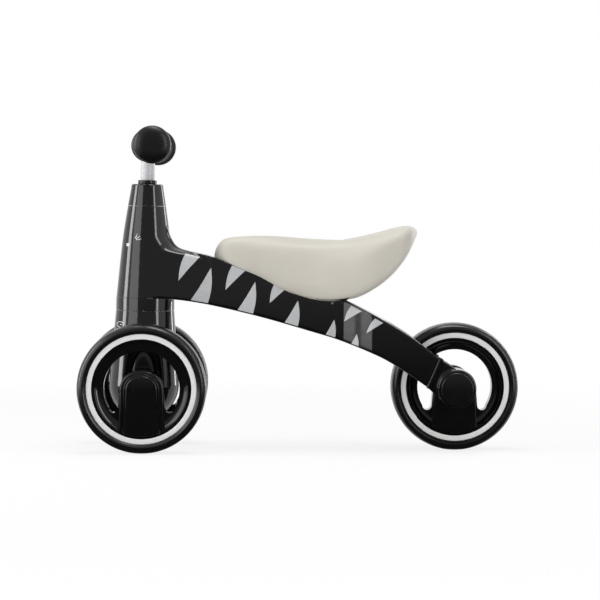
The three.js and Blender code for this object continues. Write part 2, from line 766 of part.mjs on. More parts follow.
// A bracket that closes each arm and carries the axle; its tongue plugs into the hollow arm.
function bracketSolid() {
  const seamTop = armTop.at(-1);
  const seamBottom = beamBottom[0];
  const along = new THREE.Vector2(seamTop.y - seamBottom.y, seamBottom.x - seamTop.x).normalize();
  const shape = new THREE.Shape();
  const top = seamTop.clone().addScaledVector(along, gap);
  const bottom = seamBottom.clone().addScaledVector(along, gap);
  shape.moveTo(bottom.x, bottom.y);
  shape.lineTo(rearX - 17, axleZ - 15);
  shape.absarc(rearX, axleZ, bracketRadius, Math.PI * 1.23, Math.PI * 2.5, false);
  shape.lineTo(top.x, top.y);
  const plate = toSolid(sidePlate(shape, armInner - gap, armOuter + 0.8));
  const boss = toSolid(atRearAxle(rodAlongY(bracketRadius, armInner - gap, bracketOuter, round)));
  const reach = along.clone().multiplyScalar(-tongueLength);
  const tongueCut = new THREE.Shape([
    bottom.clone().addScaledVector(along, 3).add(new THREE.Vector2(-20, -30)),
    top.clone().addScaledVector(along, 3).add(new THREE.Vector2(20, 30)),
    top.clone().add(reach).add(new THREE.Vector2(20, 30)),
    bottom.clone().add(reach).add(new THREE.Vector2(-20, -30)),
  ]);
  const tongueBlock = toSolid(sidePlate(tongueCut, armInner, armOuter));
  const tongue = beamSolid(-wall - gap, armOpening).intersect(tongueBlock);
  const axleHole = toSolid(atRearAxle(rodAlongY(axleRadius + gap, 0, far)));
  const pocket = rodAlongY(nutRadius + nutRoom, bracketOuter - nutPocketDepth, far, medium);
  return cut(join(plate, boss, tongue), axleHole, toSolid(atRearAxle(pocket)));
}

function capSolid() {
  const from = bracketOuter + gap;
  const face = bracketOuter + gap + capThickness;
  const profile = [
    [0, from],
    [capRadius, from],
    [capRadius, face - 2.6],
    [capRadius - 1.2, face - 1.3],
    [capRadius * 0.6, face - 0.3],
    [0, face],
  ];
  return toSolid(atRearAxle(turnedAboutY(profile, round)));
}

// The same piece on the other side of the bike.
function mirrored(solid) {
  const turned = toGeometry(solid).scale(1, -1, 1);
  const corners = turned.attributes.position.array;
  for (let i = 0; i < corners.length; i += 9) {
    for (let axis = 0; axis < 3; axis += 1) {
      [corners[i + axis], corners[i + 3 + axis]] = [corners[i + 3 + axis], corners[i + axis]];
    }
  }
  return toSolid(turned);
}

function addRearAxle(group) {
  const nutFrom = bracketOuter - nutPocketDepth + gap;
  const axleEnd = nutFrom + nutThickness + threadPast;
  addPart(group, 'rear_axle', toSolid(atRearAxle(rodAlongY(axleRadius, -axleEnd, axleEnd))), finish.steel);
  const spacerFrom = hubHalfLength + flangeThickness + 2 * gap;
  const spacerTube = tubeAlongY(spacerRadius, axleRadius + gap, spacerFrom, armInner - 2 * gap);
  const spacer = toSolid(atRearAxle(toGeometry(spacerTube)));
  const nut = toSolid(atRearAxle(toGeometry(nutSolid(nutFrom, nutFrom + nutThickness))));
  [['left', mirrored], ['right', (solid) => solid]].forEach(([name, placed]) => {
    addPart(group, 'axle_bracket_' + name, placed(bracketSolid()), finish.gloss);
    addPart(group, 'rear_spacer_' + name, placed(spacer), finish.nylon);
    addPart(group, 'rear_nut_' + name, placed(nut), finish.steel);
    addPart(group, 'axle_cap_' + name, placed(capSolid()), finish.satin);
  });
}

// ---- seat ----

const seatTop = points([
  [135, axleZ + 183], [128, axleZ + 189.5], [117, axleZ + 188], [93, axleZ + 181], [70, axleZ + 175],
  [46, axleZ + 171.8], [10, axleZ + 172.5], [-24, axleZ + 175], [-50, axleZ + 176.6], [-80, axleZ + 175.5],
  [-93, axleZ + 171], [-100, axleZ + 160],
]);
const seatUnder = points([
  [-99, axleZ + 145], [-40, axleZ + 110], [10, axleZ + 95], [56, axleZ + 100.5], [73, axleZ + 107.5],
  [87, axleZ + 115], [101, axleZ + 126.3], [122, axleZ + 150.5], [134, axleZ + 173],
]);
const panLine = points([[58, 5], [76, 14], [94, 26], [108, 40]]);

function seatPlan(inset) {
  const nose = seatNose + inset;
  const tail = seatTail - inset;
  const narrow = seatNoseWidth - inset;
  const wide = seatTailWidth - inset;
  const upper = smooth(points([
    [nose, 0], [nose + 5, narrow * 0.62], [nose + 17, narrow], [-40, narrow + 4], [10, narrow + 13],
    [50, wide - 11], [86, wide], [tail - 22, wide - 1], [tail - 6, wide - 14], [tail, 0],
  ]), 20);
  const lower = upper.slice(1, -1).map((point) => new THREE.Vector2(point.x, -point.y)).reverse();
  return new THREE.Shape([...upper, ...lower]);
}

function seatPadSolid() {
  const outline = new THREE.Shape([...smooth(seatTop, 22), ...smooth(seatUnder, 14)]);
  const side = toSolid(sidePlate(outline, -far, far));
  const plan = toSolid(floorPlate(seatPlan(0), 0, far));
  const beamRoom = toSolid(sidePlate(beamOutline(gap * 2, 0), -far, far));
  return cut(side.intersect(plan), beamRoom, seatPanBody(gap), ...seatBoltRoom());
}

function seatBoltRoom() {
  const top = beamTopAt(seatBoltX);
  return [-1, 1].map((side) => {
    const room = rodAlongZ(seatBoltHeadRadius + 1, top, top + 15, coarse);
    return toSolid(room.translate(seatBoltX, side * seatBoltY, 0));
  });
}

// The pan lies on the beam under the pad and curves up inside the tail of the seat.
function seatPanBody(grow) {
  const start = seatNose + 17.5;
  const steps = 12;
  const lower = [];
  for (let i = 0; i <= steps; i += 1) {
    const x = start + (seatStep.x - start) * i / steps;
    lower.push(new THREE.Vector2(x, beamTopAt(x) + gap));
  }
  lower.push(...panLine.map(({ x, y }) => new THREE.Vector2(x, seatStep.y + y)));
  const upper = lower.map(({ x, y }) => new THREE.Vector2(x, y + panThickness)).reverse();
  const side = toSolid(sidePlate(new THREE.Shape(grown([...lower, ...upper], grow)), -far, far));
  return side.intersect(toSolid(floorPlate(seatPlan(panInset - grow), 0, far)));
}

function seatPanSolid() {
  const body = join(seatPanBody(0), seatLug(0));
  return cut(body, seatPinRod(gap), ...seatBoltHoles());
}

function seatBoltSolid(side) {
  const top = beamTopAt(seatBoltX);
  const seat = top + panThickness + 4;
  const shank = rodAlongZ(seatBoltRadius, top - seatBoltLength + 1, seat + 1, coarse);
  const head = rodAlongZ(seatBoltHeadRadius, seat, seat + seatBoltHeadHeight, coarse);
  const placed = [shank, head].map((piece) => toSolid(piece.translate(seatBoltX, side * seatBoltY, 0)));
  return join(...placed);
}

function addSeat(group) {
  addPart(group, 'seat_pan', seatPanSolid(), finish.satin);
  addPart(group, 'seat_pad', seatPadSolid(), finish.seat);
  addPart(group, 'seat_pin', seatPinRod(0), finish.steel);
  addPart(group, 'seat_bolt_left', seatBoltSolid(-1), finish.steel);
  addPart(group, 'seat_bolt_right', seatBoltSolid(1), finish.steel);
}

function addFrame(group) {
  const [left, right] = halves(frameSolid());
  addPart(group, 'frame_shell_left', left, finish.gloss);
  addPart(group, 'frame_shell_right', right, finish.gloss);
  frameScrewSpots.forEach((spot, i) => {
    const screw = screwSolid(spot, frameScrewFrom, frameScrewShoulder);
    addPart(group, 'frame_screw_' + ['front', 'middle', 'rear'][i], screw, finish.steel);
  });
}

function addHead(group) {
  addPart(group, 'steering_stop_ring', stopRingSolid(), finish.gloss);
  addPart(group, 'head_bush_lower', headBushSolid(headBushPlaces[0], gap, 1 + gap), finish.nylon);
  addPart(group, 'head_bush_upper', headBushSolid(headBushPlaces[1], 1 + gap, gap), finish.nylon);
  addPart(group, 'head_collar', collarSolid(), finish.gloss);
}

function atSteeringAxis() {
  const group = new THREE.Group();
  group.position.set(frontX, 0, axleZ);
  group.rotation.y = steeringLean;
  return group;
}

function wheelPlace(x, y, halfTurn) {
  const group = new THREE.Group();
  group.position.set(x, y, axleZ);
  group.rotation.z = halfTurn ? Math.PI : 0;
  return group;
}

const bike = new THREE.Group();
addFrame(bike);
addSeat(bike);
addRearAxle(bike);

const head = atSteeringAxis();
addHead(head);
bike.add(head);

const steering = atSteeringAxis();
addSteering(steering);
bike.add(steering);

const wheels = [
  ['front_left', frontX, -trackHalf, false, true],
  ['front_right', frontX, trackHalf, true, true],
  ['rear', rearX, 0, false, false],
];
wheels.forEach(([name, x, y, halfTurn, hasCover]) => {
  const place = wheelPlace(x, y, halfTurn);
  addWheel(place, name, hasCover);
  bike.add(place);
});

export default bike;
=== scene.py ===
import json
import math
import bpy
from mathutils import Matrix, Vector


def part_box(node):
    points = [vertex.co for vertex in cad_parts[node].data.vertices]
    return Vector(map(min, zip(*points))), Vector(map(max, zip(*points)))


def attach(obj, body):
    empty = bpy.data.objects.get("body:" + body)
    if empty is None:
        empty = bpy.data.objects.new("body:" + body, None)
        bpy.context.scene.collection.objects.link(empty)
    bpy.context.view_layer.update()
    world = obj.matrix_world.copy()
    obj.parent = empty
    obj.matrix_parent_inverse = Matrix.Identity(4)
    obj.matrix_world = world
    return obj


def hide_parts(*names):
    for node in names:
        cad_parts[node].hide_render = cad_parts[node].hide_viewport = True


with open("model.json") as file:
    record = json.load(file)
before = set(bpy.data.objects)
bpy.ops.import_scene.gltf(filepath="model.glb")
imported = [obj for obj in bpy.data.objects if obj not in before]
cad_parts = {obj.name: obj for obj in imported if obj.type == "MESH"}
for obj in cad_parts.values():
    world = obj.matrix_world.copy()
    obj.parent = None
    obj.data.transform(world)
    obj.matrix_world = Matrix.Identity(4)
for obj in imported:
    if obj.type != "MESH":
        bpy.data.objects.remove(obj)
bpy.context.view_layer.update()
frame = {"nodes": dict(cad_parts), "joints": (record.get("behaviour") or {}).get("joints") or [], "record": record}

# A toddler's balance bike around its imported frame. Lengths in the dictionaries are millimetres, and
# metres on the stage. The front is towards -X and the rider's left towards -Y.

mm = 0.001
mergeGap = 0.00001  # metres, like the cut's
cutGap = 1e-7
tiny = 1e-9  # never divide by less
farOut = 80  # a cutting rod ends here, clear of the bike's side


def middleOf(node):
    low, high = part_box(node)
    return (low + high) / 2


leftWheel = middleOf("front_left_tyre")
rightWheel = middleOf("front_right_tyre")
rearWheel = middleOf("rear_tyre")
frontAxle = (leftWheel + rightWheel) / 2
steeringAxis = Vector(next(j for j in frame["joints"] if j["child"] == "steering")["axis"])
lean = math.atan2(steeringAxis.x, steeringAxis.z)
frontX = frontAxle.x / mm
rearX = rearWheel.x / mm
axleZ = frontAxle.z / mm
print("frame loaded:", len(frame["nodes"]), "nodes")


def deselectAll():
    bpy.ops.object.select_all(action="DESELECT")


def pick(piece, *others):
    deselectAll()
    for one in (piece, *others):
        one.select_set(True)
    bpy.context.view_layer.objects.active = piece


def openMesh(piece):
    pick(piece)
    bpy.ops.object.mode_set(mode="EDIT")
    bpy.ops.mesh.select_all(action="SELECT")


def closeMesh():
    bpy.ops.object.mode_set(mode="OBJECT")


def settle(piece):  # merge what lies together, then turn every face outwards
    openMesh(piece)
    bpy.ops.mesh.remove_doubles(threshold=mergeGap)
    bpy.ops.mesh.normals_make_consistent(inside=False)
    closeMesh()


def faceOutwards(piece):
    openMesh(piece)
    bpy.ops.mesh.normals_make_consistent(inside=False)
    closeMesh()


def newest(name):  # the primitive just added, with its place put into its mesh
    piece = bpy.context.object
    piece.name = name
    bpy.ops.object.transform_apply(location=True, rotation=True, scale=True)
    return piece


def applyModifier(piece, kind, **settings):
    pick(piece)
    modifier = piece.modifiers.new(kind.lower(), kind)
    for key, value in settings.items():
        setattr(modifier, key, value)
    bpy.ops.object.modifier_apply(modifier=modifier.name)


def bevelEdges(piece, width, segments=3, angle=30):
    applyModifier(piece, "BEVEL", width=width * mm, segments=segments, limit_method="ANGLE",
                  angle_limit=math.radians(angle), use_clamp_overlap=True)


def drawLine(name, points):  # a vertex, extruded from point to point
    deselectAll()
    bpy.ops.mesh.primitive_plane_add(size=1)
    piece = bpy.context.object
    piece.name = name
    bpy.ops.object.mode_set(mode="EDIT")
    bpy.ops.mesh.select_all(action="SELECT")
    bpy.ops.mesh.merge(type="CENTER")
    bpy.ops.transform.translate(value=points[0] * mm)
    for here, there in zip(points, points[1:]):
        bpy.ops.mesh.extrude_vertices_move(TRANSFORM_OT_translate={"value": (there - here) * mm})
    bpy.ops.mesh.select_all(action="SELECT")
    return piece


def turned(name, profile, axis, sides=96):  # profile of (radius, along) about Y or Z
    upright = axis == "Z"
    about = (0, 0, 1) if upright else (0, 1, 0)
    line = [Vector((r, 0, a)) if upright else Vector((r, a, 0)) for r, a in profile]
    piece = drawLine(name, line)
    bpy.ops.mesh.spin(steps=sides, angle=math.tau, center=(0, 0, 0), axis=about)
    closeMesh()
    settle(piece)
    return piece


def plate(name, outline, low, high, axis="Y"):  # drawn in X and Z and thick along Y, or in X and Y along Z
    flat = axis == "Z"
    line = [Vector((a, b, low)) if flat else Vector((a, low, b)) for a, b in outline]
    piece = drawLine(name, line)
    bpy.ops.mesh.edge_face_add()
    push = (0, 0, (high - low) * mm) if flat else (0, (high - low) * mm, 0)
    bpy.ops.mesh.extrude_region_move(TRANSFORM_OT_translate={"value": push})
    closeMesh()
    settle(piece)
    return piece


def rod(name, radius, low, high, axis="Y", at=(0, 0), sides=64):
    deselectAll()
    along = (low + high) / 2
    middle = Vector((at[0], along, at[1])) if axis == "Y" else Vector((at[0], at[1], along))
    turn = (math.pi / 2, 0, 0) if axis == "Y" else (0, 0, 0)
    bpy.ops.mesh.primitive_cylinder_add(vertices=sides, radius=radius * mm, depth=(high - low) * mm,
                                        location=middle * mm, rotation=turn)
    return newest(name)


def combine(piece, operation, *tools):
    for tool in tools:
        applyModifier(piece, "BOOLEAN", operation=operation, object=tool, solver="EXACT")
        bpy.data.objects.remove(tool)


def moulded(piece, others, voxel, rounds):  # melt solids into one and ease every edge
    if others:
        pick(piece, *others)
        bpy.ops.object.join()
    applyModifier(piece, "REMESH", mode="VOXEL", voxel_size=voxel * mm)
    applyModifier(piece, "SMOOTH", iterations=rounds, factor=0.5)


def trim(piece, point, normal):  # cut away what lies on the side that the normal points to
    openMesh(piece)
    bpy.ops.mesh.bisect(plane_co=point * mm, plane_no=normal, use_fill=True, clear_outer=True, threshold=cutGap)
    closeMesh()


def copyOf(piece, name):
    twin = piece.copy()
    twin.data = piece.data.copy()
    twin.name = name
    bpy.context.scene.collection.objects.link(twin)
    return twin


def place(piece, location=(0, 0, 0), rotation=(0, 0, 0), scale=(1, 1, 1)):
    pick(piece)
    piece.location = location
    piece.rotation_euler = rotation
    piece.scale = scale
    bpy.ops.object.transform_apply(location=True, rotation=True, scale=True)


def mirroredCopy(piece, name):
    twin = copyOf(piece, name)
    place(twin, scale=(1, -1, 1))
    faceOutwards(twin)
    return twin


def onColumn(piece):  # from the steering axis's own frame to the bike's
    place(piece, location=frontAxle, rotation=(0, lean, 0))


def finish(piece, material, body, slotName, *nodes, angle=35):
    piece.data.materials.clear()
    piece.data.materials.append(material)
    pick(piece)
    bpy.ops.object.shade_smooth_by_angle(angle=math.radians(angle))
    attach(piece, body)
    if nodes:
        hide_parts(*nodes)


def arc(centre, radius, start, end, steps):  # degrees
    angles = [math.radians(start + (end - start) * i / steps) for i in range(steps + 1)]
    return [(centre[0] + radius * math.cos(a), centre[1] + radius * math.sin(a)) for a in angles]


def curveThrough(corners, steps):  # an even curve through the corners
    points = [Vector(c) for c in corners]
    line = []
    for i in range(steps + 1):
        t = i / steps * (len(points) - 1)
        k = min(int(t), len(points) - 2)
        t -= k
        a, b, c, d = (points[min(max(k + j, 0), len(points) - 1)] for j in (-1, 0, 1, 2))
        pull, push = (c - a) / 2, (d - b) / 2
        cubic = (2 * b - 2 * c + pull + push) * t ** 3
        square = (3 * c - 3 * b - 2 * pull - push) * t ** 2
        line.append(tuple(cubic + square + pull * t + b))
    return line


def heightOn(line, x):
    for (x0, z0), (x1, z1) in zip(line, line[1:]):
        if min(x0, x1) <= x <= max(x0, x1) and x0 != x1:
            return z0 + (z1 - z0) * (x - x0) / (x1 - x0)
    return line[-1][1]


def nodeGroup(name, inputs, outputs):
    tree = bpy.data.node_groups.new(name, "ShaderNodeTree")
    for label, kind, value in inputs:
        socket = tree.interface.new_socket(name=label, in_out="INPUT", socket_type=kind)
        if value is not None:
            socket.default_value = value
    for label, kind in outputs:
        tree.interface.new_socket(name=label, in_out="OUTPUT", socket_type=kind)
    return tree, tree.nodes.new("NodeGroupInput"), tree.nodes.new("NodeGroupOutput")


def fillSockets(node, values):
    for socket, value in values.items():
        node.inputs[socket].default_value = value


def makeGrain():  # a fine height for the bump, and a broad mask for the colour
    tree, start, end = nodeGroup("mouldedGrain", [("Coordinates", "NodeSocketVector", None),
                                                  ("Fine", "NodeSocketFloat", 900),
                                                  ("Broad", "NodeSocketFloat", 60)],
                                 [("Height", "NodeSocketFloat"), ("Mask", "NodeSocketFloat")])
    for scale, detail, result in (("Fine", 4, "Height"), ("Broad", 3, "Mask")):
        texture = tree.nodes.new("ShaderNodeTexNoise")
        texture.inputs["Detail"].default_value = detail
        tree.links.new(start.outputs["Coordinates"], texture.inputs["Vector"])
        tree.links.new(start.outputs[scale], texture.inputs["Scale"])
        tree.links.new(texture.outputs["Fac"], end.inputs[result])
    return tree


def makeScuffs():  # faint wiping marks, drawn out along X
    tree, start, end = nodeGroup("wipeMarks", [("Coordinates", "NodeSocketVector", None),
                                               ("Scale", "NodeSocketFloat", 90),
                                               ("Low", "NodeSocketFloat", 0.1),
                                               ("High", "NodeSocketFloat", 0.2)],
                                [("Roughness", "NodeSocketFloat")])
    stretch = tree.nodes.new("ShaderNodeMapping")
    wiped = tree.nodes.new("ShaderNodeTexNoise")
    spread = tree.nodes.new("ShaderNodeMapRange")
    fillSockets(stretch, {"Scale": (0.25, 1, 1.6)})
    fillSockets(wiped, {"Detail": 6, "Distortion": 0.6})
    fillSockets(spread, {"From Min": 0.3, "From Max": 0.75})
    tree.links.new(start.outputs["Coordinates"], stretch.inputs["Vector"])
    tree.links.new(stretch.outputs["Vector"], wiped.inputs["Vector"])
    tree.links.new(start.outputs["Scale"], wiped.inputs["Scale"])
    tree.links.new(wiped.outputs["Fac"], spread.inputs["Value"])
    tree.links.new(start.outputs["Low"], spread.inputs["To Min"])
    tree.links.new(start.outputs["High"], spread.inputs["To Max"])
    tree.links.new(spread.outputs["Result"], end.inputs["Roughness"])
    return tree


grainGroup = makeGrain()
scuffGroup = makeScuffs()
grainDepth = 0.1
scuffsPerBroad = 1.5  # how much finer the wiping marks are than the broad mask


def makeMaterial(name, look):
    material = bpy.data.materials.new(name)
    material.use_nodes = True
    nodes, links = material.node_tree.nodes, material.node_tree.links
    shader = nodes["Principled BSDF"]
    where = nodes.new("ShaderNodeTexCoord")
    grain = nodes.new("ShaderNodeGroup")
    grain.node_tree = grainGroup
    fillSockets(grain, {"Fine": look["fine"], "Broad": look["broad"]})
    scuffs = nodes.new("ShaderNodeGroup")
    scuffs.node_tree = scuffGroup
    low, high = look["roughness"]
    fillSockets(scuffs, {"Scale": look["broad"] * scuffsPerBroad, "Low": low, "High": high})
    for group in (grain, scuffs):
        links.new(where.outputs["Object"], group.inputs["Coordinates"])
    links.new(scuffs.outputs["Roughness"], shader.inputs["Roughness"])
    blend = nodes.new("ShaderNodeMix")
    blend.data_type = "RGBA"
    blend.inputs["A"].default_value = (*look["dark"], 1)
    blend.inputs["B"].default_value = (*look["light"], 1)
    links.new(grain.outputs["Mask"], blend.inputs["Factor"])
    links.new(blend.outputs["Result"], shader.inputs["Base Color"])
    bump = nodes.new("ShaderNodeBump")
    fillSockets(bump, {"Strength": look["bump"], "Distance": grainDepth * mm})
    links.new(grain.outputs["Height"], bump.inputs["Height"])
    links.new(bump.outputs["Normal"], shader.inputs["Normal"])
    fillSockets(shader, look.get("shader", {}))
    return material


looks = {
    "gloss_black": {"dark": (0.002, 0.002, 0.0022), "light": (0.003, 0.003, 0.0032), "roughness": (0.07, 0.13),
                    "fine": 350, "broad": 45, "bump": 0.04, "shader": {"Specular IOR Level": 0.48}},
    "satin_black": {"dark": (0.003, 0.003, 0.0032), "light": (0.005, 0.005, 0.0053), "roughness": (0.16, 0.24),
                    "fine": 1100, "broad": 70, "bump": 0.1, "shader": {"Specular IOR Level": 0.3}},
    "tyre": {"dark": (0.003, 0.003, 0.0032), "light": (0.005, 0.005, 0.0052), "roughness": (0.2, 0.3),
             "fine": 1400, "broad": 55, "bump": 0.08, "shader": {"Specular IOR Level": 0.42}},
    "ring_white": {"dark": (0.74, 0.73, 0.725), "light": (0.79, 0.78, 0.775), "roughness": (0.32, 0.42),
                   "fine": 900, "broad": 60, "bump": 0.1},
    "tube_silver": {"dark": (0.5, 0.495, 0.52), "light": (0.56, 0.555, 0.58), "roughness": (0.26, 0.36),
                    "fine": 700, "broad": 50, "bump": 0.05, "shader": {"Specular IOR Level": 0.4}},
    "grip": {"dark": (0.003, 0.003, 0.0032), "light": (0.005, 0.005, 0.0053), "roughness": (0.28, 0.38),
             "fine": 1300, "broad": 80, "bump": 0.25, "shader": {"Specular IOR Level": 0.25}},
    "seat_cream": {"dark": (0.52, 0.495, 0.435), "light": (0.56, 0.535, 0.475), "roughness": (0.48, 0.6),
                   "fine": 1000, "broad": 28, "bump": 0.3, "shader": {"Sheen Weight": 0.08}},
    "steel": {"dark": (0.5, 0.5, 0.51), "light": (0.6, 0.6, 0.61), "roughness": (0.26, 0.4),
              "fine": 900, "broad": 90, "bump": 0.1, "shader": {"Metallic": 1.0}},
    "nylon": {"dark": (0.58, 0.57, 0.54), "light": (0.66, 0.65, 0.62), "roughness": (0.4, 0.5),
              "fine": 900, "broad": 60, "bump": 0.1},
    "stripe": {"dark": (0.44, 0.45, 0.46), "light": (0.52, 0.53, 0.54), "roughness": (0.22, 0.32),
               "fine": 700, "broad": 30, "bump": 0.05},
}
materials = {name: makeMaterial(name, look) for name, look in looks.items()}

for row in frame["record"]["subparts"]:
    for slot in frame["nodes"][row["node"]].material_slots:
        slot.material = materials[row["material_slot"]]
print("materials made:", len(materials))


wheel = {
    "radius": 75, "halfWidth": 20, "sideRadius": 67.5, "treadHalf": 9, "shoulderPower": 0.9, "shoulderSteps": 8,
    "groove": 6, "grooveDepth": 0.9, "grooveMouth": 0.9, "grooveFloor": 0.5, "tyreBevel": 0.35, "gap": 0.3,
    "ringOuter": 63.8, "ringFace": 17, "ringThickness": 2, "ringSunk": 0.6, "ringBevel": 0.45,
    "rimRadius": 57.5, "rimFace": 15.5, "lip": 1.3, "dishFace": 10, "bowlFloor": 42, "bowlPower": 3.2,
    "bowlSteps": 12, "rimBevel": 0.5, "throat": 44, "opening": 27, "openingDepth": 28.5, "openingRound": 6,
    "hub": 25.2, "hubRise": 21.3, "hubBoss": 14, "hubHalf": 17, "bore": 8.3, "pocket": 12.5, "pocketDepth": 9,
    "spokeHalf": 26, "spokeFace": 15, "spokeInset": 2, "spokeBevel": 3.6, "cut": 40, "sides": 128,
}


def tyreProfile():
    seat = wheel["rimRadius"] + wheel["gap"]
    ringSeat = wheel["ringOuter"] + wheel["gap"]
    ringBack = wheel["ringFace"] - wheel["ringThickness"] - wheel["gap"]
    side = [(seat, -ringBack), (ringSeat, -ringBack), (ringSeat, -wheel["ringFace"] - wheel["ringSunk"])]
    top, start, power = wheel["radius"], wheel["sideRadius"], wheel["shoulderPower"]
    drop = wheel["halfWidth"] - wheel["treadHalf"]
    for step in range(wheel["shoulderSteps"] + 1):  # rounded shoulder, from the side face to the tread
        turn = math.pi / 2 * step / wheel["shoulderSteps"]
        side.append((start + (top - start) * math.sin(turn) ** power,
                     -wheel["treadHalf"] - drop * math.cos(turn) ** power))
    groove, mouth, floor = wheel["groove"], wheel["grooveMouth"], wheel["grooveFloor"]
    bottom = top - wheel["grooveDepth"]
    side += [(top, -groove - mouth), (bottom, -groove - floor),
             (bottom, -groove + floor), (top, -groove + mouth)]
    return side + [(radius, -along) for radius, along in reversed(side)] + [side[0]]


def makeTyre():
    piece = turned("tyre", tyreProfile(), "Y", wheel["sides"])
    bevelEdges(piece, wheel["tyreBevel"], segments=2, angle=35)
    return piece


def makeRing():
    inner, outer = wheel["rimRadius"] + wheel["gap"], wheel["ringOuter"]
    near = -wheel["ringFace"]
    back = near + wheel["ringThickness"]
    profile = [(inner, near), (outer, near), (outer, back), (inner, back), (inner, near)]
    piece = turned("ring", profile, "Y", wheel["sides"])
    bevelEdges(piece, wheel["ringBevel"])
    return piece


def archOver(half, rise, start, end):  # half of an oval above the axle
    return [(x, z * rise / half) for x, z in arc((0, 0), half, start, end, steps=32)]


def spokeOutline(half, rise, foot, reach):
    angle = math.degrees(math.acos(foot / reach))
    return archOver(half, rise, 0, 180) + arc((0, 0), reach, 180 + angle, 360 - angle, steps=24)


def openingOutline():
    throat, depth, ease = wheel["throat"], wheel["openingDepth"], wheel["openingRound"]
    endAngle = math.degrees(math.asin((depth - ease) / throat))
    endX = throat * math.cos(math.radians(endAngle))
    half, low = wheel["opening"], ease - depth
    pocket = (endX - half) / 2
    return [*arc((0, 0), throat, -endAngle, 180 + endAngle, steps=64),
            *arc((pocket - endX, low), pocket, 180, 360, steps=14)[1:-1], (-half, low),
            *archOver(wheel["hub"], wheel["hubRise"], 180, 0), (half, low),
            *arc((endX - pocket, low), pocket, 180, 360, steps=14)[1:-1]]


def makeRim(hasCover):
    lip, floor, dish = wheel["rimRadius"] - wheel["lip"], wheel["bowlFloor"], wheel["dishFace"]
    face, cut = wheel["spokeFace"], wheel["cut"]
    side = [(0, -dish)]
    for step in range(wheel["bowlSteps"] + 1):  # the bowl steepens towards the lip
        share = step / wheel["bowlSteps"]
        depth = (wheel["rimFace"] - dish) * share ** wheel["bowlPower"]
        side.append((floor + (lip - floor) * share, -dish - depth))
    side.append((wheel["rimRadius"], -wheel["rimFace"]))
    rim = turned("rim", side + [(radius, -along) for radius, along in reversed(side)], "Y", wheel["sides"])
    combine(rim, "DIFFERENCE", plate("opening", openingOutline(), -cut, cut))
    reach = wheel["rimRadius"] - wheel["spokeInset"]
    spoke = plate("spoke", spokeOutline(wheel["hub"], wheel["hubRise"], wheel["spokeHalf"], reach), -face, face)
    bevelEdges(spoke, wheel["spokeBevel"], segments=7)
    outerHub = face if hasCover else wheel["hubHalf"]
    combine(rim, "UNION", spoke, rod("hub", wheel["hubBoss"], -outerHub, wheel["hubHalf"]))
    combine(rim, "DIFFERENCE", rod("bore", wheel["bore"], -cut, cut))
    if hasCover:
        combine(rim, "DIFFERENCE", rod("pocket", wheel["pocket"], -cut, -face + wheel["pocketDepth"]))
    bevelEdges(rim, wheel["rimBevel"], segments=2, angle=50)
    settle(rim)
    return rim


spokeCover = {
    "half": 20.6, "rise": 17.9, "foot": 22.4, "face": 19.5, "step": 17.2, "inset": 2.4, "footInset": 1,
    "rimGap": 1.2, "sunk": 0.5, "stepBevel": 1.2, "faceBevel": 2.0,
    "slope": 0.05, "slopeFrom": 12, "slopeMost": 2.0, "slopeDepth": 1,
}


def makeCover():  # a base with a raised face that slopes a little inwards at its foot
    half, rise, foot, inset = (spokeCover[key] for key in ("half", "rise", "foot", "inset"))
    reach = wheel["rimRadius"] - spokeCover["rimGap"]
    back = -wheel["spokeFace"] - wheel["gap"]
    base = plate("cover", spokeOutline(half, rise, foot, reach), -spokeCover["step"], back)
    inner = spokeOutline(half - inset, rise - inset, foot - inset, reach - spokeCover["footInset"])
    face = plate("face", inner, -spokeCover["face"], back - spokeCover["sunk"])
    bevelEdges(base, spokeCover["stepBevel"], segments=4)
    bevelEdges(face, spokeCover["faceBevel"], segments=6)
    pick(base, face)
    bpy.ops.object.join()
    for vertex in base.data.vertices:
        below = -vertex.co.z / mm - spokeCover["slopeFrom"]
        if below > 0 and vertex.co.y < (spokeCover["slopeDepth"] - spokeCover["step"]) * mm:
            vertex.co.y += min(below * spokeCover["slope"], spokeCover["slopeMost"]) * mm
    return base


print("wheels")
tyre, ring, cover = makeTyre(), makeRing(), makeCover()
rims = {True: makeRim(True), False: makeRim(False)}
wheelPlaces = [("front_left", leftWheel, 0, True), ("front_right", rightWheel, math.pi, True),
               ("rear", rearWheel, 0, False)]
for name, centre, turn, hasCover in wheelPlaces:
    body = name + "_wheel"
    made = [("tyre", tyre, 0, "tyre"), ("rim", rims[hasCover], 0, "gloss_black"),
            ("ring_outer", ring, 0, "ring_white"), ("ring_inner", ring, math.pi, "ring_white")]
    if hasCover:
        made.append(("spoke_cover", cover, 0, "gloss_black"))
    for part, source, extra, slotName in made:
        piece = copyOf(source, name + "-" + part)
        place(piece, location=centre, rotation=(0, 0, turn + extra))
        finish(piece, materials[slotName], body, slotName, name + "_" + part)
for source in (tyre, ring, cover, *rims.values()):
    bpy.data.objects.remove(source)


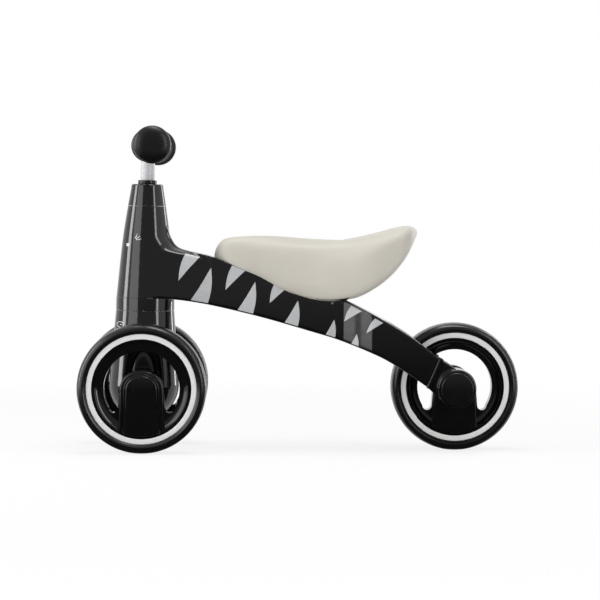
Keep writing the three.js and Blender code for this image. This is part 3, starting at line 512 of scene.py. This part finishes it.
column = {
    "crown": 88, "crownRadius": 34.4, "legHalf": 41.3, "legThickness": 38.5, "trimExtra": 6, "clear": (60, 120),
    "socket": 43, "axleHole": 5.3, "screwSpots": ((-24, 52), (24, 52)), "screwShoulder": 20.3, "screwHead": 4.6,
    "voxel": 1.1, "gap": 0.3, "runGap": 0.5, "seamBevel": 0.12, "ringHeight": 14.5, "steerer": 11.5,
    "head": 107.5, "headRadii": (34.2, 28.1, 22.5), "headTaper": 0.13, "waist": 0.63,  # waist: share of the head
    "collar": 25.5, "collarTop": 18.8, "collarEase": 2.2, "collarLip": 0.4, "collarEdge": 6,
    "bushSeat": 14.8, "bushDepth": 12.3, "bush": 11, "bushHeight": 4.5, "spigot": 12, "spigotStep": 1.8,
    "bushLift": 0.1, "bushBevel": 0.7,
    "bar": 281.6, "barRadius": 8.4, "barBend": 25, "barLength": 84, "barSweep": 6, "barVoxel": 0.8,
    "stemDepth": 75,
}
ringBottom = column["crown"] + column["runGap"]
ringTop = ringBottom + column["ringHeight"]
headBottom = ringTop + column["gap"]
headTop = headBottom + column["head"]
collarBottom = headTop + column["gap"]
collarTop = collarBottom + column["collar"]


def makeFork():
    extra = column["trimExtra"]  # trimmed off again once the edges are eased
    wide, tall = column["clear"]
    slope = (column["legHalf"] - column["crownRadius"]) / column["crown"]
    top = column["crown"] + extra
    heel = arc((0, 0), column["legHalf"], -90, 0, steps=24)
    leg = turned("leg", [*heel, (column["crownRadius"] - slope * extra, top), (0, top)], "Z", sides=128)
    half = column["legThickness"]
    slab = [(-wide, -wide), (wide, -wide), (wide, tall), (-wide, tall)]
    combine(leg, "INTERSECT", plate("slab", slab, -half, half))
    socket = rod("socket", column["steerer"] + column["gap"], column["crown"] - column["socket"], tall, "Z")
    combine(leg, "DIFFERENCE", socket, rod("axleHole", column["axleHole"], -wide, wide))
    for spot in column["screwSpots"]:
        combine(leg, "DIFFERENCE", rod("seat", column["screwHead"], column["screwShoulder"], wide, at=spot))
    moulded(leg, [], column["voxel"], rounds=6)
    trim(leg, Vector((0, 0, column["crown"])), (0, 0, 1))
    return leg


def inHalves(piece, leftName, rightName):
    right = copyOf(piece, rightName)
    piece.name = leftName
    seam = column["gap"] / 2
    trim(piece, Vector((0, -seam, 0)), (0, 1, 0))
    trim(right, Vector((0, seam, 0)), (0, -1, 0))
    return piece, right


def headProfile(below=0, above=0, steps=24):
    low, waist, high = column["headRadii"]
    radii = [(low, headBottom - below), (low, headBottom),
             (waist, headBottom + column["head"] * column["waist"]), (high, headTop),
             (high - column["headTaper"] * above, headTop + above)]
    curve = curveThrough([radii[1], radii[2], radii[3]], steps)
    return [(0, radii[0][1]), radii[0], *curve, radii[4], (0, radii[4][1])]


def makeCollar():
    top, ease = column["collarTop"], column["collarEase"]
    bore = column["steerer"] + column["runGap"]
    rounding = arc((top - ease, collarTop - ease), ease, 0, 90, steps=8)
    profile = [(bore, collarBottom), (column["headRadii"][2], collarBottom),
               (top + column["collarLip"], collarTop - column["collarEdge"]), *rounding,
               (bore, collarTop), (bore, collarBottom)]
    piece = turned("headCollar", profile, "Z", sides=128)
    bevelEdges(piece, column["seamBevel"], segments=1, angle=40)
    return piece


def makeStopRing():
    bore, outer = column["steerer"] + column["runGap"], column["crownRadius"]
    profile = [(bore, ringBottom), (outer, ringBottom), (outer, ringTop), (bore, ringTop), (bore, ringBottom)]
    piece = turned("stopRing", profile, "Z", sides=128)
    bevelEdges(piece, column["seamBevel"], segments=1, angle=40)
    return piece


def makeStemBush():
    seat = collarTop + column["bushLift"]
    low, high = seat - column["spigot"], seat + column["bushHeight"]
    radius, bore = column["bush"], column["barRadius"] + column["gap"]
    spigot = radius - column["spigotStep"]
    profile = [(bore, low), (spigot, low), (spigot, seat), (radius, seat),
               (radius, high), (bore, high), (bore, low)]
    piece = turned("stemBush", profile, "Z")
    bevelEdges(piece, column["bushBevel"], angle=40)
    return piece


def makeHandlebar():  # a stem with a bar welded across it, swept back at both ends
    radius, height, length = column["barRadius"], column["bar"], column["barLength"]
    stem = rod("handlebar", radius, collarTop - column["stemDepth"], height, "Z")
    parts = [rod("middle", radius, -column["barBend"], column["barBend"], at=(0, height))]
    for side in (-1, 1):
        bend = Vector((0, side * column["barBend"], height)) * mm
        arm = rod("arm", radius, min(0, side * length), max(0, side * length))
        place(arm, location=bend, rotation=(0, 0, math.radians(-side * column["barSweep"])))
        deselectAll()
        bpy.ops.mesh.primitive_uv_sphere_add(segments=32, ring_count=16, radius=radius * mm, location=bend)
        parts += [arm, newest("elbow")]
    moulded(stem, parts, column["barVoxel"], rounds=4)
    return stem


print("steering column")
fork = makeFork()
onColumn(fork)
forkShells = inHalves(fork, "forkShellLeft", "forkShellRight")
for piece, node in zip(forkShells, ("fork_shell_left", "fork_shell_right")):
    finish(piece, materials["gloss_black"], "steering", "gloss_black", node)
for piece, slotName, body, node in [(makeCollar(), "gloss_black", "frame", "head_collar"),
                                    (makeStopRing(), "gloss_black", "frame", "steering_stop_ring"),
                                    (makeStemBush(), "satin_black", "steering", "stem_bush"),
                                    (makeHandlebar(), "tube_silver", "steering", "handlebar")]:
    onColumn(piece)
    finish(piece, materials[slotName], body, slotName, node)


grip = {
    "start": 6, "length": 84, "radius": 17.5, "end": 21.8, "bore": 8.7, "wall": 5, "bevel": 0.4,
    "collar": ((0.8, 0), (1.9, 1.6), (1.9, 4), (0, 5.5)),  # rise over the radius, distance from the start
    "rib": 1.2, "ribs": 7, "ribsFrom": 6, "ribsTo": 18,
    "ribShape": ((0, 0.3), (0.8, 0.42), (1, 0.6), (0.8, 0.78), (0, 0.9)),  # share of the rise and of the pitch
    "flare": ((17.5, 15.5), (18.1, 14), (20.6, 12.2), (21.5, 11.2)),  # radius, distance from the end
    "dome": 9, "domeSteps": 16, "domePowers": (0.62, 1.15),
}


def makeGrip():  # ribbed sleeve along -Y with a broad domed end
    start, radius, bore = grip["start"], grip["radius"], grip["bore"]
    end = start + grip["length"]
    first = start + grip["ribsFrom"]
    pitch = (end - grip["ribsTo"] - first) / grip["ribs"]
    profile = [(bore, start), *((radius + rise, start + along) for rise, along in grip["collar"])]
    for rib in range(grip["ribs"]):
        low = first + rib * pitch
        profile += [(radius + grip["rib"] * rise, low + pitch * share) for rise, share in grip["ribShape"]]
    profile += [(radial, end - back) for radial, back in grip["flare"]]
    across, along = grip["domePowers"]
    for step in range(1, grip["domeSteps"]):  # full dome, flattened at its middle
        turn = math.pi / 2 * step / grip["domeSteps"]
        profile.append((grip["end"] * math.cos(turn) ** across,
                        end - grip["dome"] + grip["dome"] * math.sin(turn) ** along))
    profile += [(0, end), (0, end - grip["wall"]), (bore, end - grip["wall"]), (bore, start)]
    piece = turned("grip", [(radial, -reach) for radial, reach in profile], "Y")
    bevelEdges(piece, grip["bevel"], segments=2, angle=40)
    return piece


print("grips")
gripLeft = makeGrip()
gripRight = mirroredCopy(gripLeft, "gripRight")
gripLeft.name = "gripLeft"
for piece, side, node in ((gripLeft, -1, "grip_left"), (gripRight, 1, "grip_right")):
    place(piece, location=Vector((0, side * column["barBend"], column["bar"])) * mm,
          rotation=(0, 0, math.radians(-side * column["barSweep"])))
    onColumn(piece)
    finish(piece, materials["grip"], "steering", "grip", node)


beam = {
    # the outline from the side: distance behind the front axle, height above it
    "top": ((1, 192), (20, 191), (27, 186), (31.5, 174), (39, 163.5), (52, 158.5), (82, 151.5), (120, 137),
            (153, 121.5), (179.5, 110), (198.5, 103.8), (210.5, 102)),
    "arm": ((237.5, 101.7), (251.5, 95), (282.5, 78.7), (317.5, 57.5), (346, 35.5)),
    "under": ((331.5, 2), (302.5, 21.6), (273.3, 38), (230.5, 54.4), (202.5, 63), (132, 82.8), (61.5, 98.3),
              (1, 105)),
    "front": ((0, 12), (42, 13), (60, 19), (80, 24.3), (96, 25)),  # distance behind the axle, half width
    "half": 25, "armOuter": 48, "armInner": 30, "flareEnd": rearX - 91.5, "flareLength": 48, "flareSteps": 20,
    "rear": rearX + 20, "slotStart": rearX - 81.5, "slotEnd": rearX + 60, "slotRound": 12,
    "clear": (70, 330), "trimExtra": 8, "past": 5, "wayGap": 1, "ringRoom": 30, "voxel": 1.2, "rounds": 7,
    "screws": (frontX + 56, frontX + 112, -12), "screwShoulder": 21.3, "screwHead": 4.7,
}
topLine, armLine, underLine = (curveThrough([(frontX + x, axleZ + z) for x, z in beam[part]], steps)
                               for part, steps in (("top", 66), ("arm", 30), ("under", 48)))
seamTop, seamFoot = Vector(armLine[-1]), Vector(underLine[0])
armAlong = Vector((seamTop.y - seamFoot.y, seamFoot.x - seamTop.x)).normalized()


def beamSide(extra):  # the outline seen from the side, its arms lengthened by extra
    past = [tuple(seamTop + armAlong * extra), tuple(seamFoot + armAlong * extra)]
    return topLine + armLine + past + underLine


def beamPlan():
    start, length, steps = beam["flareEnd"] - beam["flareLength"], beam["flareLength"], beam["flareSteps"]
    rise = beam["armOuter"] - beam["half"]
    upper = [(frontX + back, half) for back, half in beam["front"]]
    upper += [(start + length * t, beam["half"] + rise * t * t * (3 - 2 * t)) for t in
              (step / steps for step in range(steps + 1))]
    upper.append((beam["rear"], beam["armOuter"]))
    return upper + [(x, -y) for x, y in reversed(upper)]


neckShape = {"below": 14, "steps": 84, "frontOnly": 0.01, "core": 5, "reach": 80, "end": 112, "top": 191,
             "square": 1.8, "squareBy": 1.1}


def makeNeck():  # the head's round sections drawn out backwards until they lie inside the beam
    neck = turned("neck", headProfile(below=neckShape["below"], steps=neckShape["steps"]), "Z")
    behind = [(z, x) for x, z in topLine]
    for vertex in neck.data.vertices:
        x, y, height = vertex.co / mm
        radius = math.hypot(x, y)
        if x <= neckShape["frontOnly"] or radius < neckShape["core"]:
            continue
        edge = heightOn(behind, axleZ + height) - frontX - height * math.tan(lean)
        reach = min(max(edge, radius), neckShape["end"]) if height < neckShape["top"] else radius
        drawnOut = min(max((reach / radius - 1) / neckShape["squareBy"], 0), 1)
        power = 2 / (2 + neckShape["square"] * drawnOut)  # rounder sections turn squarer as they grow
        along = reach * (x / radius) ** power
        width = radius + (beam["half"] - radius) * min(along / neckShape["reach"], 1)
        across = width * (abs(y) / radius) ** power
        vertex.co = Vector((along, math.copysign(across, y), height)) * mm
    onColumn(neck)
    return neck


def makeFrame():
    extra = beam["trimExtra"]  # trimmed off again once the edges are eased
    wide, tall = beam["clear"]
    body = plate("frame", beamSide(extra), -wide, wide)
    combine(body, "INTERSECT", plate("plan", beamPlan(), 0, tall, "Z"))
    inner, ease, end = beam["armInner"], beam["slotRound"], beam["slotEnd"]
    corner = beam["slotStart"] + ease
    slot = [(end, -inner), (end, inner), *arc((corner, inner - ease), ease, 90, 180, steps=10),
            *arc((corner, ease - inner), ease, 180, 270, steps=10)]
    combine(body, "DIFFERENCE", plate("slot", slot, 0, tall, "Z"))
    neck = makeNeck()
    combine(neck, "INTERSECT", plate("side", beamSide(0), -wide, wide))
    head = turned("head", headProfile(below=extra, above=extra), "Z")
    onColumn(head)
    moulded(body, [neck, head], beam["voxel"], beam["rounds"])
    up = Matrix.Rotation(lean, 3, "Y") @ Vector((0, 0, 1))
    trim(body, frontAxle / mm + up * headTop, up)
    end = (seamTop + seamFoot) / 2
    trim(body, Vector((end.x, 0, end.y)), (armAlong.x, 0, armAlong.y))
    low, high = headBottom - beam["past"], headTop + beam["past"]
    seat, depth = column["bushSeat"], column["bushDepth"]
    ring = column["crownRadius"] + column["runGap"]
    tools = [rod("ringRoom", ring, headBottom - beam["ringRoom"], headBottom, "Z", sides=128),
             rod("way", column["steerer"] + beam["wayGap"], low, high, "Z"),
             rod("seat", seat, low, headBottom + depth, "Z"), rod("seat", seat, headTop - depth, high, "Z")]
    for tool in tools:
        onColumn(tool)
    combine(body, "DIFFERENCE", *tools)
    return body


print("frame shells")
shell = makeFrame()
left, right = inHalves(shell, "frameShellLeft", "frameShellRight")
wholeRight = copyOf(right, "wholeRight")  # without screw seats, to lay the marks on
screwSpots = [(x, (heightOn(topLine, x) + heightOn(underLine, x)) / 2) for x in beam["screws"]]
for spot in screwSpots:
    combine(right, "DIFFERENCE", rod("seat", beam["screwHead"], beam["screwShoulder"], 60, at=spot))
finish(left, materials["gloss_black"], "frame", "gloss_black", "frame_shell_left")
finish(right, materials["gloss_black"], "frame", "gloss_black", "frame_shell_right")


bracket = {
    "radius": 22.5, "inner": 29.7, "outer": 54, "plate": 48.4, "lip": 1.1, "lipLength": 5, "bossEase": 2,
    "chin": (-17, -15), "shoulder": (-15, 31.5), "round": (221, 452), "gap": 0.3, "bore": 5.3, "pocket": 10.7,
    "pocketDepth": 9, "voxel": 0.8,
}


def makeBracket():
    axle, inner = (rearX, axleZ), bracket["inner"]
    top, foot = seamTop + armAlong * bracket["gap"], seamFoot + armAlong * bracket["gap"]
    chin, shoulder = ((rearX + x, axleZ + z) for x, z in (bracket["chin"], bracket["shoulder"]))
    outline = [tuple(foot), chin, *arc(axle, bracket["radius"], *bracket["round"], steps=48),
               shoulder, tuple(top)]
    base = plate("bracket", outline, inner, bracket["plate"])
    across = (top - foot).normalized() * bracket["lip"]
    along = armAlong * bracket["lipLength"]
    lip = [tuple(foot - across), tuple(top + across), tuple(top + across + along), tuple(foot - across + along)]
    combine(base, "UNION", plate("lip", lip, inner, bracket["plate"] + bracket["lip"]))
    boss = rod("boss", bracket["radius"], inner, bracket["outer"], at=axle, sides=96)
    bevelEdges(boss, bracket["bossEase"], segments=5)
    combine(base, "UNION", boss)
    combine(base, "DIFFERENCE", rod("bore", bracket["bore"], 0, farOut, at=axle),
            rod("pocket", bracket["pocket"], bracket["outer"] - bracket["pocketDepth"], farOut, at=axle))
    moulded(base, [], bracket["voxel"], rounds=3)
    return base


cap = {"radius": 19, "height": 5.5, "side": 2.7, "edge": 1.6, "edgeSteps": 8,
       "crown": ((0.75, 0.75), (0.4, 0.2), (0, 0))}  # share of the radius, drop from the top


def makeCap():
    low = bracket["outer"] + bracket["gap"]
    high, radius, edge = low + cap["height"], cap["radius"], cap["edge"]
    profile = [(0, low), (radius, low)]
    for step in range(cap["edgeSteps"] + 1):
        turn = math.pi / 2 * step / cap["edgeSteps"]
        profile.append((radius - edge + edge * math.cos(turn), low + cap["side"] + edge * math.sin(turn)))
    profile += [(radius * share, high - drop) for share, drop in cap["crown"]]
    piece = turned("cap", profile, "Y")
    place(piece, location=rearWheel)
    return piece


print("rear brackets")
for made, slotName, node in ((makeBracket(), "gloss_black", "axle_bracket"),
                             (makeCap(), "satin_black", "axle_cap")):
    made.name = node.replace("_", "-") + "-right"
    twin = mirroredCopy(made, node.replace("_", "-") + "-left")
    finish(made, materials[slotName], "frame", slotName, node + "_right")
    finish(twin, materials[slotName], "frame", slotName, node + "_left")


seat = {
    "nose": -101, "tail": 138, "noseHeight": 227, "tailHeight": 257, "around": 96, "rings": 72,
    "top": ((-97, 240), (-91, 246.4), (-81, 249.2), (-47, 250.5), (0, 247.3), (36, 245.4), (60, 247),
            (94, 254.8), (117, 261.6), (127, 264), (133, 262.6)),
    "foot": ((-97, 219), (-88, 216), (-53, 203.5), (-18, 187.3), (0, 181.4), (14, 177.5), (30, 175.6),
             (45, 175.8), (59, 178.2), (73, 182.5), (101, 201), (122, 225), (134, 248)),
    "width": ((-98, 12), (-93, 19), (-84, 25), (-60, 29), (-40, 31), (10, 40), (50, 51), (86, 61), (112, 61),
              (125, 54), (132, 42)),
    "footShare": 0.95, "narrowFrom": 0.2, "sideFullness": 0.32, "topFullness": 0.42,
    "frames": 12, "quality": 6, "pressure": 2, "tension": 30, "bending": 4, "swell": 1.8, "smoothing": 4,
}


def alongSeat(x):  # angle from the nose, so that the round ends keep their shape
    share = (x - seat["nose"]) / (seat["tail"] - seat["nose"])
    return math.acos(1 - 2 * min(max(share, 0), 1))


def smoothOver(table, ends):
    points = [(0, ends[0]), *((alongSeat(x), value) for x, value in table), (math.pi, ends[1])]
    return curveThrough(points, steps=240)


seatEnds = (seat["noseHeight"], seat["tailHeight"])
seatTop = smoothOver(seat["top"], seatEnds)
seatFoot = smoothOver(seat["foot"], seatEnds)
seatWidth = smoothOver(seat["width"], (0, 0))


def makeSeat():
    deselectAll()
    bpy.ops.mesh.primitive_uv_sphere_add(segments=seat["around"], ring_count=seat["rings"], radius=1,
                                         rotation=(0, math.pi / 2, 0))
    piece = newest("seatPad")
    middle, reach = (seat["nose"] + seat["tail"]) / 2, (seat["tail"] - seat["nose"]) / 2
    narrow = seat["narrowFrom"]  # below this share of the height the pad narrows towards its foot
    for vertex in piece.data.vertices:
        spot = vertex.co
        turn = math.acos(max(-1, min(1, -spot.x)))
        top, foot, half = (heightOn(line, turn) for line in (seatTop, seatFoot, seatWidth))
        angle = math.atan2(spot.z, spot.y)
        up, out = math.sin(angle), math.cos(angle)
        fullness = seat["topFullness"] if up > 0 else seat["sideFullness"]
        rise = math.copysign(abs(up) ** fullness, up)
        side = math.copysign(abs(out) ** fullness, out)
        share = 1 if rise > narrow else 1 - (1 - seat["footShare"]) * (narrow - rise) / (narrow + 1)
        vertex.co = Vector((middle - reach * math.cos(turn), half * side * share,
                            (top + foot) / 2 + (top - foot) / 2 * rise)) * mm
    settle(piece)
    return piece


def padSeat(piece):  # a little air under the cover, with how far it may swell kept small
    rest = [vertex.co.copy() for vertex in piece.data.vertices]
    cloth = piece.modifiers.new("padding", "CLOTH")
    cloth.settings.quality = seat["quality"]
    cloth.settings.use_pressure = True
    cloth.settings.uniform_pressure_force = seat["pressure"]
    cloth.settings.effector_weights.gravity = 0
    cloth.settings.tension_stiffness = seat["tension"]
    cloth.settings.bending_stiffness = seat["bending"]
    for step in range(1, seat["frames"] + 1):
        bpy.context.scene.frame_set(step)
    shaped = piece.evaluated_get(bpy.context.evaluated_depsgraph_get())
    moved = [vertex.co.copy() for vertex in shaped.data.vertices]
    piece.modifiers.remove(cloth)
    bpy.context.scene.frame_set(1)
    limit = seat["swell"] * mm
    for vertex, before, after in zip(piece.data.vertices, rest, moved):
        swell = after - before
        vertex.co = before + swell * min(1, limit / max(swell.length, tiny))
    applyModifier(piece, "SMOOTH", iterations=seat["smoothing"], factor=0.5)


print("seat")
seatPad = makeSeat()
padSeat(seatPad)
applyModifier(seatPad, "SUBSURF", levels=1, render_levels=1)
finish(seatPad, materials["seat_cream"], "frame", "seat_cream", "seat_pad", angle=80)


marks = {
    "lift": 0.12, "thickness": 0.3, "across": 6, "along": 18, "from": 70,
    "bow": 0.11, "bowShare": 0.35, "taper": 0.82, "slopeSpan": 5,
    # middle of the base along X, base width, length, slant in degrees, distance from the beam's edge
    "down": ((-126, 17, 34, 29, 3.5), (-72, 15.5, 30, 31, 1.6), (-24, 13, 22, 31, 1.6), (66, 12, 21, 42, 3.5),
             (92, 9.5, 21, 44, 3.5)),
    "up": ((-118, 20, 42, 19, 1.8), (-64, 18, 37, 18, 1.8), (-10, 15.5, 29, 15.5, 1.8), (36, 11, 19.5, 13, 1.8),
           (64.5, 8, 13, 9, 1.8)),
    "eye": (-202, 240.5, 2.0), "lashes": ((62, 6.2), (36, 6.6), (10, 6.2)),  # angle, length
    "lashRoot": (-194.5, 246), "lashWidth": 1.1, "lashGap": 2.5,
    "nostril": (-210.5, 147, 4.2, 3.2, 0.8), "nostrilDot": (-209.8, 146.8, 0.9),
}


def laidOn(piece, target, side):  # press a flat shape on to the body from one side, then give it thickness
    applyModifier(piece, "SHRINKWRAP", target=target, wrap_method="PROJECT", use_project_x=False,
                  use_project_y=True, use_project_z=False, use_negative_direction=side > 0,
                  use_positive_direction=side < 0, offset=marks["lift"] * mm)
    applyModifier(piece, "SOLIDIFY", thickness=marks["thickness"] * mm, offset=0)
    faceOutwards(piece)


def patch(name, shape, side):  # a grid beside the bike, whose points are moved to shape(u, v)
    deselectAll()
    bpy.ops.mesh.primitive_grid_add(x_subdivisions=marks["across"], y_subdivisions=marks["along"], size=2)
    piece = newest(name)
    for vertex in piece.data.vertices:
        x, z = shape(vertex.co.x, (vertex.co.y + 1) / 2)
        vertex.co = Vector((x, side * marks["from"], z)) * mm
    return piece


def stripeShape(spot, upwards):
    x, width, length, slant, inset = spot
    line, way = (underLine, 1) if upwards else (topLine + armLine, -1)
    span, share = marks["slopeSpan"], marks["bowShare"]
    slope = (heightOn(line, x + span) - heightOn(line, x - span)) / (2 * span)
    base = Vector((x, heightOn(line, x) + way * inset))
    lie = math.radians(slant)
    tip = base + Vector((math.sin(lie), math.cos(lie))) * length * way
    normal = Vector((math.cos(lie), -math.sin(lie)))

    def shape(u, v):
        start = base + Vector((1, slope)) * u * width / 2
        taper = (1 - v) ** marks["taper"]
        point = tip + (start - tip) * taper
        drift = base.lerp(tip, v) + (start - base) * taper
        bend = marks["bow"] * length * math.sin(math.pi * v) * (share + (1 - share) * max(u * way, 0))
        return (point + drift + normal * way * bend) / 2

    return shape


def discShape(x, z, radius):
    def shape(u, v):
        w = v * 2 - 1
        scale = radius * max(abs(u), abs(w)) / max(math.hypot(u, w), tiny)
        return x + u * scale, z + w * scale
    return shape


def loopShape(x, z, wide, high, line):
    def shape(u, v):
        turn, out = math.tau * v, u * line / 2
        return x + (wide + out) * math.cos(turn), z + (high + out) * math.sin(turn)
    return shape


def lashShape(angle, length):
    way = Vector((math.cos(math.radians(angle)), math.sin(math.radians(angle))))
    side = Vector((-way.y, way.x))

    def shape(u, v):
        half = marks["lashWidth"] / 2 * (1 - v * v) ** 0.5
        return Vector(marks["lashRoot"]) + way * (marks["lashGap"] + length * v) + side * u * half
    return shape


print("painted marks")
drawnMarks = [("stripeDown", stripeShape(spot, False), "frame") for spot in marks["down"]]
drawnMarks += [("stripeUp", stripeShape(spot, True), "frame") for spot in marks["up"]]
drawnMarks.append(("eye", discShape(*marks["eye"]), "frame"))
drawnMarks += [("lash", lashShape(angle, length), "frame") for angle, length in marks["lashes"]]
drawnMarks += [("nostril", loopShape(*marks["nostril"]), "steering"),
               ("nostrilDot", discShape(*marks["nostrilDot"]), "steering")]
count = 0
for sideName, side, under in (("left", -1, {"frame": left, "steering": forkShells[0]}),
                              ("right", 1, {"frame": wholeRight, "steering": forkShells[1]})):
    for label, shape, body in drawnMarks:
        count += 1
        piece = patch(f"{label}-{sideName}-{count}", shape, side)
        laidOn(piece, under[body], side)
        if label.startswith("stripe") and side > 0:  # the screws on this side go through the stripes
            for spot in screwSpots:
                combine(piece, "DIFFERENCE", rod("seat", beam["screwHead"], 0, farOut, at=spot))
        finish(piece, materials["stripe"], body, "ring_white")
bpy.data.objects.remove(wholeRight)


stage = {  # in metres, as the lamps and the camera are
    "floorSize": 60, "floorDrop": 0.0003, "floorWhite": 0.86, "floorRoughness": 0.9, "worldLight": 0.24,
    "shadowShare": 0.18, "fade": (0.35, 1.3),
    "cardHalf": 0.625, "cardLift": 0.001, "cardHeight": 1.3, "cardY": (-0.01, -0.85),
    "cardRise": (0.03, 0.17), "cardGrey": (0.05, 0.38),
}
atColumn, atMiddle = (-0.18, 0, 0.2), (0, 0, 0.15)
softboxes = [  # name, place, aim, width, height, power
    ("edgeStrip", (-1.48, -0.12, 0.6), atColumn, 0.4, 1.3, 14),
    ("leftSoft", (-1.4, -1.18, 0.62), atColumn, 1.2, 1.3, 10),
    ("rightStrip", (1.05, -1.03, 0.6), atColumn, 0.24, 1.3, 6.5),
    ("backStrip", (0.95, 0.95, 0.6), atColumn, 0.14, 1.2, 5),
    ("overhead", (0.1, -0.1, 1.8), atMiddle, 0.5, 1.2, 15),
    ("front", (-0.5, -2.6, 1.5), atMiddle, 1.6, 1.0, 5),
]
cameraSetup = {"place": (-0.06104, -3.22187, 0.3035), "yaw": 0.0191, "pitch": 0.0396, "roll": 0.0059,  # radians
               "lens": 163.69, "sensor": 36, "clipEnd": 100}


# plain to the light that falls on the bike, white where the camera, a reflection or glass looks at it
def whiteWhereSeen(tree, plain, white, output):
    nodes, links = tree.nodes, tree.links
    path = nodes.new("ShaderNodeLightPath")
    seen = path.outputs["Is Camera Ray"]
    for ray in ("Is Glossy Ray", "Is Transmission Ray"):
        either = nodes.new("ShaderNodeMath")
        either.operation = "MAXIMUM"
        links.new(seen, either.inputs[0])
        links.new(path.outputs[ray], either.inputs[1])
        seen = either.outputs["Value"]
    mix = nodes.new("ShaderNodeMixShader")
    links.new(seen, mix.inputs["Fac"])
    links.new(plain, mix.inputs[1])
    links.new(white, mix.inputs[2])
    links.new(mix.outputs["Shader"], nodes[output].inputs["Surface"])


def makeWorld():
    world = bpy.data.worlds.new("studio")
    bpy.context.scene.world = world
    world.use_nodes = True
    tree = world.node_tree
    light = tree.nodes["Background"]
    white = tree.nodes.new("ShaderNodeBackground")
    fillSockets(light, {"Color": (1, 1, 1, 1), "Strength": stage["worldLight"]})
    fillSockets(white, {"Color": (1, 1, 1, 1)})
    whiteWhereSeen(tree, light.outputs["Background"], white.outputs["Background"], "World Output")


def stageMaterial(name):
    material = bpy.data.materials.new(name)
    material.use_nodes = True
    nodes, links = material.node_tree.nodes, material.node_tree.links
    return material, nodes, links, nodes.new("ShaderNodeEmission"), nodes.new("ShaderNodeTexCoord")


def makeFloor():
    deselectAll()
    bpy.ops.mesh.primitive_plane_add(size=stage["floorSize"], location=(0, 0, -stage["floorDrop"]))
    floor = bpy.context.object
    floor.name = "floor"
    material, nodes, links, glow, where = stageMaterial("paleFloor")
    shader = nodes["Principled BSDF"]
    pale = stage["floorWhite"]
    fillSockets(shader, {"Base Color": (pale, pale, pale, 1), "Roughness": stage["floorRoughness"],
                         "Specular IOR Level": 0})
    fillSockets(glow, {"Color": (1, 1, 1, 1)})
    distance = nodes.new("ShaderNodeVectorMath")
    distance.operation = "LENGTH"
    fade = nodes.new("ShaderNodeMapRange")
    fade.interpolation_type = "SMOOTHSTEP"
    near, away = stage["fade"]
    fillSockets(fade, {"From Min": near, "From Max": away, "To Min": 1 - stage["shadowShare"], "To Max": 1})
    links.new(where.outputs["Object"], distance.inputs[0])
    links.new(distance.outputs["Value"], fade.inputs["Value"])
    faint = nodes.new("ShaderNodeMixShader")
    links.new(fade.outputs["Result"], faint.inputs["Fac"])
    links.new(shader.outputs["BSDF"], faint.inputs[1])
    links.new(glow.outputs["Emission"], faint.inputs[2])
    whiteWhereSeen(material.node_tree, shader.outputs["BSDF"], faint.outputs["Shader"], "Material Output")
    floor.data.materials.append(material)


def makeCard():  # a bent dark card in front that only reflections see, paler towards its top
    (near, away), half, low = stage["cardY"], stage["cardHalf"], stage["cardLift"]
    corners = [(-half, near, low), (-half, away, low), (-half, away, stage["cardHeight"])]
    card = drawLine("darkCard", [Vector(corner) / mm for corner in corners])
    bpy.ops.mesh.extrude_region_move(TRANSFORM_OT_translate={"value": (2 * half, 0, 0)})
    closeMesh()
    card.visible_camera = card.visible_diffuse = card.visible_shadow = card.visible_transmission = False
    material, nodes, links, glow, where = stageMaterial("darkCard")
    split = nodes.new("ShaderNodeSeparateXYZ")
    shade = nodes.new("ShaderNodeMapRange")
    (foot, top), (dark, pale) = stage["cardRise"], stage["cardGrey"]
    fillSockets(shade, {"From Min": foot, "From Max": top, "To Min": dark, "To Max": pale})
    links.new(where.outputs["Object"], split.inputs["Vector"])
    links.new(split.outputs["Z"], shade.inputs["Value"])
    links.new(shade.outputs["Result"], glow.inputs["Strength"])
    links.new(glow.outputs["Emission"], nodes["Material Output"].inputs["Surface"])
    card.data.materials.append(material)


def makeLights():
    for name, spot, aim, width, height, power in softboxes:
        lamp = bpy.data.lights.new(name, "AREA")
        lamp.shape = "RECTANGLE"
        lamp.size = width
        lamp.size_y = height
        lamp.energy = power
        holder = bpy.data.objects.new(name, lamp)
        holder.location = spot
        holder.rotation_euler = (Vector(aim) - Vector(spot)).to_track_quat("-Z", "Y").to_euler()
        bpy.context.scene.collection.objects.link(holder)


def makeCamera():
    lens = bpy.data.cameras.new("camera")
    lens.sensor_width = cameraSetup["sensor"]
    lens.lens = cameraSetup["lens"]
    lens.clip_end = cameraSetup["clipEnd"]
    holder = bpy.data.objects.new("camera", lens)
    turn = (Matrix.Rotation(-cameraSetup["yaw"], 4, "Z")
            @ Matrix.Rotation(math.pi / 2 - cameraSetup["pitch"], 4, "X")
            @ Matrix.Rotation(cameraSetup["roll"], 4, "Z"))
    holder.matrix_world = Matrix.Translation(cameraSetup["place"]) @ turn
    bpy.context.scene.collection.objects.link(holder)
    bpy.context.scene.camera = holder


print("stage and lamps")
makeWorld()
makeFloor()
makeCard()
makeLights()
makeCamera()
bpy.context.scene.view_settings.view_transform = "Standard"
